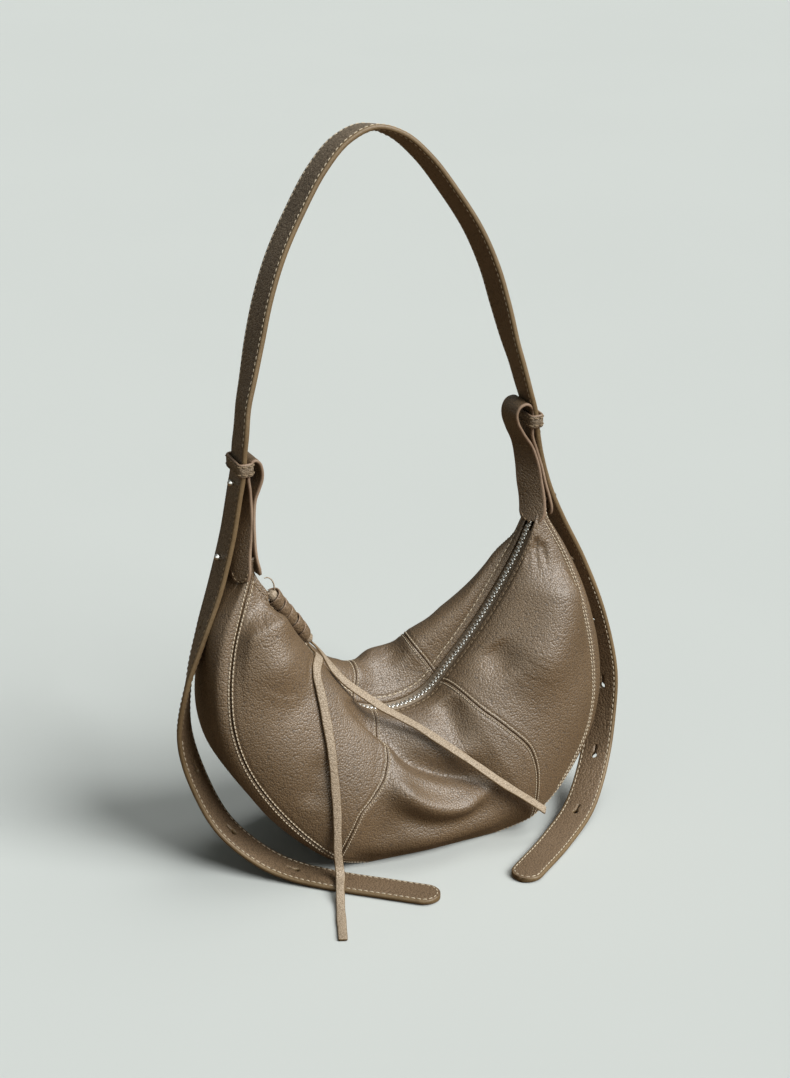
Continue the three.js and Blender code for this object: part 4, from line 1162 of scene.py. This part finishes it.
barrelEnd = pull["start"] + pull["turns"] * pull["pitch"]
coreRun = np.linspace(pull["start"] - 0.4, barrelEnd + 0.6, 24)
coreFade = np.minimum(1, np.minimum(coreRun - coreRun[0], coreRun[-1] - coreRun) / 2.0)
coreRadii = pull["core"] * (0.55 + 0.45 * np.sqrt(coreFade))
loopKnots = [
    (14.2, -2.4, 5.6), (11.6, -2.4, 3.4), (10, -2.5, 1.9), (8.8, -1.5, 1.8), (8.4, 0, 1.8), (8.8, 1.5, 1.8),
    (10, 2.5, 1.9), (11.6, 2.2, 3.4), (14.2, 0.8, 5.6),
]
loopLine = curveThrough(pullPoint(*np.array(loopKnots).T), 70)
curlKnots = [
    (15.5, -1.2, 8.2), (12.6, -1.8, 10.2), (9.2, -1.4, 12.0), (6.0, -0.4, 12.4), (3.6, 0.6, 11.2),
    (2.8, 1.2, 9.2),
]
curlLine = curveThrough(pullPoint(*np.array(curlKnots).T), 50)
curlRadii = np.linspace(0.62, 0.4, 51)
points, faces = joinShapes([
    tubeShape(pullPoint(coreRun, pull["aside"], pull["level"]), coreRadii, 18),
    tubeShape(loopLine, 0.75, 10), tubeShape(curlLine, curlRadii, 10),
])
place(meshPiece("pull_loop", points, faces, [laceLeather]), "zip_pull", "lace_leather", "pull_cord")


def wrapRings():
    count = (pull["turns"] - 1) * pull["steps"] + 1
    turns = np.arange(count) / pull["steps"]
    turn = 2 * math.pi * turns
    run = pull["start"] + pull["pitch"] * (0.5 + turns)
    ends = np.minimum(turns, turns[-1] - turns)
    radius = pull["radius"] - 0.45 * (1 - ease(ends / 0.25)) + 0.22 * np.sin(turn * 0.37 + 1.0)
    run = run + 0.55 * np.sin(turn * 0.61 + 2.0)
    half = pull["half"]
    halfTop = [(-half, 0.25), (-half + 0.3, 0.75), (-half + 0.9, 1), (0, 1.12)]
    section = mirroredSection(halfTop, pull["thick"])
    axial = run[:, None] + section[None, :, 0]
    reach = radius[:, None] + section[None, :, 1] - pull["overlap"] * section[None, :, 0]
    rise = pull["level"] + reach * np.sin(turn)[:, None]
    aside = pull["aside"] + reach * np.cos(turn)[:, None]
    return pullPoint(axial, aside, rise), sectionKinds(section, 1, 0)


rings, kinds = wrapRings()
piece = loftPiece("wound_strip", rings, [strapBack, paleEdge], kinds)
place(piece, "zip_pull", "lace_leather", "pull_wrap")
print("pull wound")


# strap: a flat section with rounded painted edges, its two faces finished differently

strap = {"half": 12.0, "thick": 1.8, "round": 1.3, "crown": 0.3, "stitchOff": 2.3, "dip": 0.25}
strapX = 113.5
strapY = 12.0
pivotZ = 330.0
underKeeper = 307.0  # both ends meet inside the keeper band, out of sight


def strapSection():
    turns = np.radians([14, 36, 58, 78])
    edge = [(-strap["half"] + strap["round"] * (1 - math.cos(a)), math.sin(a)) for a in turns]
    flatA = np.array([-10.5, -10.1, -9.7, -9.3, -8.9, -7.5, -5, -2.5, 0])
    line = strap["half"] - strap["stitchOff"]
    flatB = 1 + strap["crown"] / strap["thick"] * (1 - (flatA / strap["half"]) ** 2)
    flatB = flatB - strap["dip"] / strap["thick"] * swell(np.abs(flatA) - line, 0.5)
    ring = mirroredSection(edge + list(zip(flatA, flatB)), strap["thick"])
    return ring, sectionKinds(ring, len(edge), 2)


strapRing, strapKinds = strapSection()


def stripRings(frames, section):
    at, across, face, half = frames
    wide = half[:, None, None] / strap["half"] * section[None, :, :1] * across[:, None]
    return at[:, None] + wide + section[None, :, 1:] * face[:, None]


def roundedHalf(half, back):
    back = np.clip(back, 0, half)
    return np.sqrt(np.maximum(half ** 2 - (half - back) ** 2, 0.02))


# a stitch line on one face of a strap, at a distance across from its middle
def faceLine(frames, a, b):
    at, across, face, half = frames
    return at + np.asarray(a)[..., None] * across + b * face, np.sign(b) * face


archHalf = [
    (111.2, 330), (107.8, 349), (103.0, 366), (95.8, 392), (87, 420), (75, 448),
    (58.5, 476), (40, 502), (21, 519.5), (0, 526.5),
]
archLeanIn = [(318, 1.4), (330, 3.4), (349, 4.4), (366, 4.2), (392, 2.8), (420, 1.0), (448, 0.0)]
archFoot = [(113.5, underKeeper), (112.8, 318)]
archLean = math.radians(9.7)
archTurn = math.radians(11)


def archFrames():
    up = np.array([0, math.sin(archLean), math.cos(archLean)])
    knots = [np.array([x, strapY, pivotZ]) + up * (z - pivotZ) / math.cos(archLean) for x, z in archHalf]
    knots = [np.array([x, strapY, z]) for x, z in archFoot] + knots
    leftSide = [p * (-1, 1, 1) for p in knots]
    lean = np.array(archLeanIn)
    rightSide = [p - np.array([np.interp(p[2], lean[:, 0], lean[:, 1], left=0), 0, 0]) for p in knots]
    line = curveThrough(leftSide + rightSide[-2::-1], 660)
    line = resample(line, 330)
    along = directions(line)
    lean = archLean * ease((line[:, 2] - 318) / 26)
    turn = archTurn * ease((line[:, 2] - 340) / 60)
    across = squareTo(np.stack([-np.sin(turn), np.cos(turn) * np.cos(lean), -np.sin(lean)], -1), along)
    face = np.cross(along, across)
    return line, across, face, np.full(len(line), strap["half"])


frames = archFrames()
strapFinishes = [strapLeather, edgePaint, strapBack]
piece = loftPiece("strap_shoulder", stripRings(frames, strapRing), strapFinishes, strapKinds)
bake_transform(piece)
dress(piece, "strap_leather", "strap_arch")
line = strap["half"] - strap["stitchOff"]
surface = strap["thick"] - 0.02
clear = [part[8:-8] for part in frames]
middle = np.zeros(len(clear[0]))
rows = []
for a in (-line, line):
    rows += [(*faceLine(clear, middle + a, b), strapStitch) for b in (-surface, surface)]
piece = stitchPiece("strap_shoulder_stitches", rows, creamThread)
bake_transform(piece)
dress(piece, "strap_leather")
print("shoulder strap made")


tails = {
    "left": {
        "sign": -1, "turn": 45, "turnFrom": 90, "turnOver": 165, "paleFrom": 215,
        "knots": [
            (-113.5, 12, 317.7), (-113.6, 12, 306), (-115, 12, 297), (-117, 12, 287), (-119.4, 12, 274),
            (-123.4, 12, 254), (-133.4, 11.5, 218), (-146, 10, 183), (-157.5, 9.6, 146), (-161.5, 10, 105),
            (-152.6, 3.4, 64), (-138.8, -7.7, 33), (-117.5, -26.3, 12.5), (-100.4, -41.1, 5),
            (-75.8, -62.4, 2.3), (-43.9, -89.3, 2.3), (-15.1, -113.3, 2.3),
        ],
        "hinge": (-59.61, -76.11, 2.1), "ahead": (0.767, -0.6415, 0),
    },
    "right": {
        "sign": 1, "turn": 37, "turnFrom": 35, "turnOver": 170, "paleFrom": 150,
        "knots": [
            (113.5, 12, 317.7), (113.6, 12, 305), (115.2, 12, 293), (118.2, 12, 278), (125.4, 12, 252),
            (135.5, 12, 226), (151, 11, 190), (167.5, 7, 140), (176, 1.5, 92), (172, -5, 58),
            (161.6, -16.8, 31), (133.6, -46.8, 8.6), (97.6, -77.4, 2.4), (62.5, -104.9, 2.3),
            (48.2, -115.9, 2.3),
        ],
        "hinge": (94.0, -80.32, 2.15), "ahead": (-0.7887, -0.6148, 0),
    },
}
holes = {"first": 24.7, "pitch": 56.0, "studs": 2, "count": 7, "radius": 2.2, "slit": 0.45, "slitLong": 8.4}


def tailAt(tail, s):
    dense = tail["line"]
    sums = lengths(dense)
    at = pick(dense, sums, s)
    ahead = unit(pick(directions(dense), sums, s))
    turn = math.radians(tail["turn"]) * ease((s - tail["turnFrom"]) / tail["turnOver"])
    across = squareTo(np.stack([-tail["sign"] * np.sin(turn), np.cos(turn), 0 * turn], -1), ahead)
    face = np.cross(ahead, across) * tail["sign"]
    return at, ahead, across, face, roundedHalf(strap["half"], sums[-1] - s)


def tailStrip(tail, s):
    at, ahead, across, face, half = tailAt(tail, s)
    return at, across, face, half


def keyholeShape(tail, s):
    at, ahead, across, face, _ = tailAt(tail, np.array([s]))
    angle = math.asin(holes["slit"] / holes["radius"])
    arc = np.linspace(math.pi - angle, -math.pi + angle, 26)
    outline = [(holes["radius"] * math.cos(a), holes["radius"] * math.sin(a)) for a in arc]
    outline += [(-holes["slitLong"], -holes["slit"]), (-holes["slitLong"], holes["slit"])]
    rings = [[at[0] + x * ahead[0] + y * across[0] + z * face[0] for x, y in outline] for z in (-5, 5)]
    count = len(outline)
    faces = [[k, (k + 1) % count, count + (k + 1) % count, count + k] for k in range(count)]
    faces += [list(range(count)), list(range(count, 2 * count))]
    return np.array(rings), faces


def cutAway(piece, cutter):
    tool = piece.modifiers.new("cut", "BOOLEAN")
    tool.object = cutter
    tool.solver = "EXACT"
    shaped = piece.evaluated_get(bpy.context.evaluated_depsgraph_get())
    mesh = bpy.data.meshes.new_from_object(shaped)
    piece.modifiers.clear()
    piece.data = mesh
    bpy.data.objects.remove(cutter)


# ball stud turned on a lathe: waist and ball
stud = {"waist": 1.3, "sunk": -1.7, "neck": 1.9, "ball": 2.5, "out": 4.2, "sides": 28}


def studRings(tail, s):
    at, ahead, across, face, _ = tailAt(tail, np.array([s]))
    turns = np.radians(np.arange(34, 180, 12))
    ball = [(stud["ball"] * math.sin(a), stud["out"] - stud["ball"] * math.cos(a)) for a in turns]
    waist = [(stud["waist"], stud["sunk"]), (stud["waist"], stud["neck"])]
    profile = np.array(waist + ball + [(0.12, stud["out"] + stud["ball"] - 0.01)])
    turn = (np.arange(stud["sides"]) + 0.5) * 2 * math.pi / stud["sides"]
    ring = np.cos(turn)[:, None] * across[0] + np.sin(turn)[:, None] * ahead[0]
    return at[0] + profile[:, 1, None, None] * face[0] + profile[:, :1, None] * ring[None]


tailTop = 317.7
tipBacks = np.array([12, 10.5, 9, 7.5, 6, 4.6, 3.4, 2.4, 1.5, 0.8, 0.3, 0.06])
tailFloor = 0.15
liftRun = 9.0
for name, tail in tails.items():
    tail["line"] = curveThrough(tail["knots"], 900)
    total = lengths(tail["line"])[-1]
    down = np.linspace(tailTop - underKeeper, total - tipBacks[0] - 0.5, 170)
    s = np.concatenate([down, total - tipBacks])
    rings = stripRings(tailStrip(tail, s), strapRing)
    rings[..., 2] = np.maximum(rings[..., 2], tailFloor)
    piece = loftPiece(f"strap_tail_{name}_leather", rings, strapFinishes, strapKinds)
    places = holes["first"] + holes["pitch"] * np.arange(holes["count"])
    points, faces = joinShapes([keyholeShape(tail, p) for p in places[holes["studs"]:]])
    cutAway(piece, meshPiece("keyhole_tool", points, faces, [strapLeather, edgePaint], [1] * len(faces)))
    reach = liftRun * np.array(tail["ahead"])
    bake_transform(piece)
    dress(piece, "strap_leather", f"strap_tail_{name}", f"strap_tip_{name}")
    down = np.linspace(tail["paleFrom"], total - strap["half"], 240)
    bend = np.radians(np.linspace(-90, 90, 26))[1:-1]
    runs = np.concatenate([down, total - strap["half"] + line * np.cos(bend), down[::-1]])
    aside = np.concatenate([0 * down - line, line * np.sin(bend), 0 * down + line])
    rows = [(*faceLine(tailStrip(tail, runs), aside, b), strapStitch) for b in (-surface, surface)]
    piece = stitchPiece(f"strap_tail_{name}_stitches", rows, creamThread)
    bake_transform(piece)
    dress(piece, "strap_leather")
    high = np.linspace(20, tail["paleFrom"], 80)
    for word, b in (("toned", surface), ("inner", -surface)):
        rows = [(*faceLine(tailStrip(tail, high), 0 * high + a, b), strapStitch) for a in (-line, line)]
        piece = stitchPiece(f"strap_tail_{name}_{word}_stitches", rows, taupeThread)
        place(piece, "bag", "strap_leather")
    for k in range(holes["studs"]):
        piece = loftPiece(f"ball_stud_{name}_{k + 1}", studRings(tail, places[k]), [silver])
        place(piece, "bag", "silver", f"stud_{name}_{k + 1}")
print("strap tails and studs made")


# tabs: a strip folded into a teardrop loop, its two leaves sewn to the horn

tab = {
    "width": 22.0, "thick": 2.2, "steps": 170, "round": 1.0, "stitchOff": 2.4, "closing": 286.0, "cup": 0.8,
    "cupFrom": 8.0, "cupOver": 45.0, "taper": 0.16, "taperOver": 30.0, "endRound": 2.5,
}
tabStitch = {"pitch": 3.6, "dash": 2.7, "radius": 0.42}
tabRoutes = {
    "left": {
        "sign": -1, "sewn": (-90, 90),
        "turns": [(0, 29), (40, 24), (66, 10), (80, 0), (105, 4), (130, 12), (160, 14), (190, 2)],
        "outer": [
            (-120.0, -4.0, 224.8), (-119.4, -1.6, 233), (-118.2, 1.6, 244), (-115.6, 5.0, 257),
            (-112.8, 9.0, 271), (-111.2, 11.5, 283),
        ],
        "loop": [
            (-110.4, 12, 291), (-110.3, 12, 299.5), (-110, 12, 306), (-108.4, 12, 310.4),
            (-105.2, 12, 311.8), (-102.2, 12, 309.2), (-100.8, 12, 303.4), (-101.4, 12, 297),
            (-104, 12, 290.5),
        ],
        "inner": [
            (-107.8, 11.5, 282.5), (-110.2, 9.0, 271), (-111.4, 5.0, 257), (-110.4, 2.0, 244),
            (-108.0, 0.5, 234.5), (-106.2, -0.5, 228.0),
        ],
    },
    "right": {
        "sign": 1, "sewn": (-90, 20),
        "turns": [(0, 12), (40, 22), (60, 11), (72, 0), (115, 4), (150, 20), (178, 34), (212, 36)],
        "outer": [
            (122.4, 0.0, 234), (121.4, 0.6, 240), (119.2, 2.0, 249), (116.2, 4.5, 259), (113.4, 8.5, 272),
            (111.6, 11.3, 284),
        ],
        "loop": [
            (110.4, 12, 293), (110.3, 12, 303), (110.4, 12, 312.4), (109.5, 12, 317.4), (105.0, 12, 320.8),
            (99.6, 12, 319.4), (96.8, 12, 314.6), (97.2, 12, 307.6), (101.0, 12, 298.4),
        ],
        "inner": [
            (106.8, 11.5, 287), (109.6, 8.5, 273), (110.2, 4.5, 258), (110.6, 1.5, 247), (109.8, -1.2, 238),
            (108.2, -3.0, 230.6),
        ],
    },
}


def tabFrames(route):
    at = curveThrough(route["outer"] + route["loop"] + route["inner"], tab["steps"])
    s = lengths(at)
    knots = np.array(route["turns"], float)
    turn = np.radians(np.interp(s, knots[:, 0] * s[-1] / knots[-1, 0], knots[:, 1]))
    along = directions(at)
    across = squareTo(np.stack([-np.sin(turn), np.cos(turn), 0 * turn], -1), along)
    face = np.cross(along, across) * -route["sign"]
    back = np.minimum(s, s[-1] - s) + tab["endRound"]
    half = roundedHalf(tab["width"] / 2, back) * (1 - tab["taper"] * swell(s, tab["taperOver"]))
    return at, across, face, half, s


def tabSection():
    turns = np.radians([14, 36, 58, 78])
    half = tab["width"] / 2
    edge = [(-half + tab["round"] * (1 - math.cos(a)), math.sin(a)) for a in turns]
    halfTop = edge + [(-9.4, 1.0), (-8.0, 1.02), (-5, 1.05), (0, 1.07)]
    ring = mirroredSection(halfTop, tab["thick"] / 2)
    return ring * (strap["half"] / half, 1), sectionKinds(ring, len(edge), 0)


# the leaves bend a little round the horn across their width
def cupDepth(s, total, aside):
    ends = np.minimum(s, total - s)
    fade = 1 - ease((ends - tab["cupFrom"]) / tab["cupOver"])
    return tab["cup"] * fade * (aside / (tab["width"] / 2)) ** 2


tabRing, tabKinds = tabSection()
for name, route in tabRoutes.items():
    frames = tabFrames(route)
    at, across, face, half, s = frames
    aside = tabRing[None, :, 0] * half[:, None] / strap["half"]
    rings = stripRings(frames[:4], tabRing) - cupDepth(s[:, None], s[-1], aside)[..., None] * face[:, None]
    piece = loftPiece(f"tab_{name}_leather", rings, [bodyLeather, paleEdge], tabKinds)
    place(piece, "bag", "body_leather", f"tab_{name}")
    rows = []
    straight = tab["width"] / 2 - tab["endRound"]
    reach = tab["width"] / 2 - tab["stitchOff"]
    bend = np.radians(np.linspace(*route["sewn"], 30))
    for start, way in ((0, 1), (s[-1], -1)):
        run = straight - reach * np.cos(bend)
        aside = -reach * np.sin(bend) * (1 if way < 0 else 1 - tab["taper"])
        where = start + way * np.maximum(run, 0.2)
        parts = [pick(part, s, where) for part in (at, across, face)]
        out = tab["thick"] / 2 - cupDepth(where, s[-1], aside)
        rows.append((parts[0] + aside[:, None] * parts[1] + out[:, None] * parts[2], parts[2], tabStitch))
    below = s[len(s) // 2:][np.argmax(at[len(s) // 2:, 2] < tab["closing"])]
    aside = np.linspace(-reach, reach, 20)
    parts = [pick(part, s, below + 0 * aside) for part in (at, across, face)]
    rows.append((parts[0] + aside[:, None] * parts[1] + tab["thick"] / 2 * parts[2], parts[2], tabStitch))
    place(stitchPiece(f"tab_{name}_stitches", rows, taupeThread), "bag", "body_leather")


# keepers: closed bands round the strap and the outer leaf of the tab

keeper = {
    "tall": 10.0, "wall": 1.8, "low": 302.0, "corner": 2.9, "row": 2.9,
    "up": {"left": 0.0, "right": 0.8}, "slack": {"left": 1.7, "right": 0.9},
}
keeperStitch = {"pitch": 4.3, "dash": 3.3, "radius": 0.55}
bandInner = strapX - strap["thick"] - tab["thick"] - 0.9


def bandLoop(midX, halfX, halfY, corner):
    points = []
    outs = []
    for quarter, (signX, signY) in enumerate(((1, 1), (-1, 1), (-1, -1), (1, -1))):
        for a in np.radians(quarter * 90 + np.linspace(0, 90, 9)):
            out = np.array([math.cos(a), math.sin(a), 0])
            middle = np.array([midX + signX * (halfX - corner), strapY + signY * (halfY - corner), 0])
            points.append(middle + corner * out)
            outs.append(out)
    return np.array(points), np.array(outs)


for name, sign in (("left", -1), ("right", 1)):
    bandOuter = strapX + strap["thick"] + keeper["slack"][name]
    midX = sign * (bandInner + bandOuter) / 2
    halfX = (bandOuter - bandInner) / 2 + keeper["wall"] / 2
    halfY = strap["half"] + 0.4 + keeper["wall"] / 2
    loop, outs = bandLoop(midX, halfX, halfY, keeper["corner"])
    mid = keeper["low"] + keeper["tall"] / 2 + keeper["up"][name]
    halfTall = keeper["tall"] / 2
    rim = [(-halfTall, 0.2), (-halfTall + 0.25, 0.7), (-halfTall + 0.7, 1)]
    section = mirroredSection(rim + [(-3.4, 1), (-2.9, 0.85), (-2.4, 1), (0, 1.08)], keeper["wall"] / 2)
    rise = section[None, :, :1] * np.array([0, 0, 1.0]) + np.array([0, 0, mid])
    rings = loop[:, None] + rise + section[None, :, 1:] * outs[:, None]
    kinds = sectionKinds(section, 2, 2)
    piece = loftPiece(f"keeper_{name}_band", rings, [strapLeather, paleEdge, strapBack], kinds, closed=True)
    place(piece, f"keeper_band_{name}", "strap_leather", f"keeper_{name}")
    rows = []
    around = np.vstack([loop, loop[:1]])
    facing = np.vstack([outs, outs[:1]])
    for z in (-keeper["row"], keeper["row"]):
        rows.append((around + keeper["wall"] / 2 * facing + np.array([0, 0, mid + z]), facing, keeperStitch))
    place(stitchPiece(f"keeper_{name}_stitches", rows, taupeThread), f"keeper_band_{name}", "strap_leather")
print("tabs and keepers made")


# pale floor, pale surroundings and soft lamps

studio = {
    "floor": (206, 211, 207), "bounce": (104, 84, 60), "sky": (211, 216, 212), "skyLight": 0.14,
    "mirrored": 0.3, "front": 2.1, "floorHalf": 4000, "floorDrop": -0.3,
    "suns": [
        {"name": "window", "from": (0.46, -0.66, 0.68), "strength": 3.6, "angle": 38},
        {"name": "overhead", "from": (0.3, 0.1, 1.0), "strength": 0.75, "angle": 30},
    ],
}


def addFloor(look):
    half = look["floorHalf"]
    points = [(x * half, y * half, look["floorDrop"]) for x, y in ((-1, -1), (1, -1), (1, 1), (-1, 1))]
    finish, tree, shader = newFinish("pale_floor", {"Roughness": 0.8, "Specular IOR Level": 0.1})
    cloud = noiseOf(tree, objectPlace(tree), 3.0, 2.0)
    lighter = tuple(c + 3 for c in look["floor"])
    pale = mixColours(tree, cloud, tint(*look["floor"]), tint(*lighter))
    seen = addNode(tree, "LightPath", {}, {}).outputs["Is Camera Ray"]
    tree.links.new(mixColours(tree, seen, tint(*look["bounce"]), pale), shader.inputs["Base Color"])
    meshPiece("floor", points, [[0, 1, 2, 3]], [finish])


# even and pale to the camera; in a mirror it is brighter in front, where the windows are
def addSky(look):
    world = bpy.data.worlds.new("surroundings")
    scene.world = world
    world.use_nodes = True
    tree = world.node_tree
    back = tree.nodes["Background"]
    back.inputs["Color"].default_value = tint(*look["sky"])
    spot = addNode(tree, "TexCoord", {}, {}).outputs["Generated"]
    way = addNode(tree, "SeparateXYZ", {}, {0: spot}).outputs
    ahead = spanOf(tree, mathNode(tree, "MULTIPLY", way[1], -1.0), -0.15, 0.65, 0.0, 1.0)
    glow = mathNode(tree, "MULTIPLY", ahead, spanOf(tree, way[2], -0.06, 0.12, 0.0, 1.0))
    mirrored = mathNode(tree, "MULTIPLY_ADD", glow, look["front"], look["mirrored"])
    path = addNode(tree, "LightPath", {}, {}).outputs
    mirrored = mathNode(tree, "MULTIPLY", mirrored, path["Is Glossy Ray"])
    strength = mathNode(tree, "MAXIMUM", path["Is Camera Ray"], mirrored)
    strength = mathNode(tree, "MAXIMUM", strength, look["skyLight"])
    tree.links.new(strength, back.inputs["Strength"])


def addLamps(look):
    for lamp in look["suns"]:
        data = bpy.data.lights.new(lamp["name"], "SUN")
        data.energy = lamp["strength"]
        data.angle = math.radians(lamp["angle"])
        light = bpy.data.objects.new(lamp["name"], data)
        light.rotation_euler = Vector(lamp["from"]).to_track_quat("Z", "Y").to_euler()
        scene.collection.objects.link(light)


addFloor(studio)
addSky(studio)
addLamps(studio)
scene.view_settings.view_transform = "Standard"
print("floor and light set")
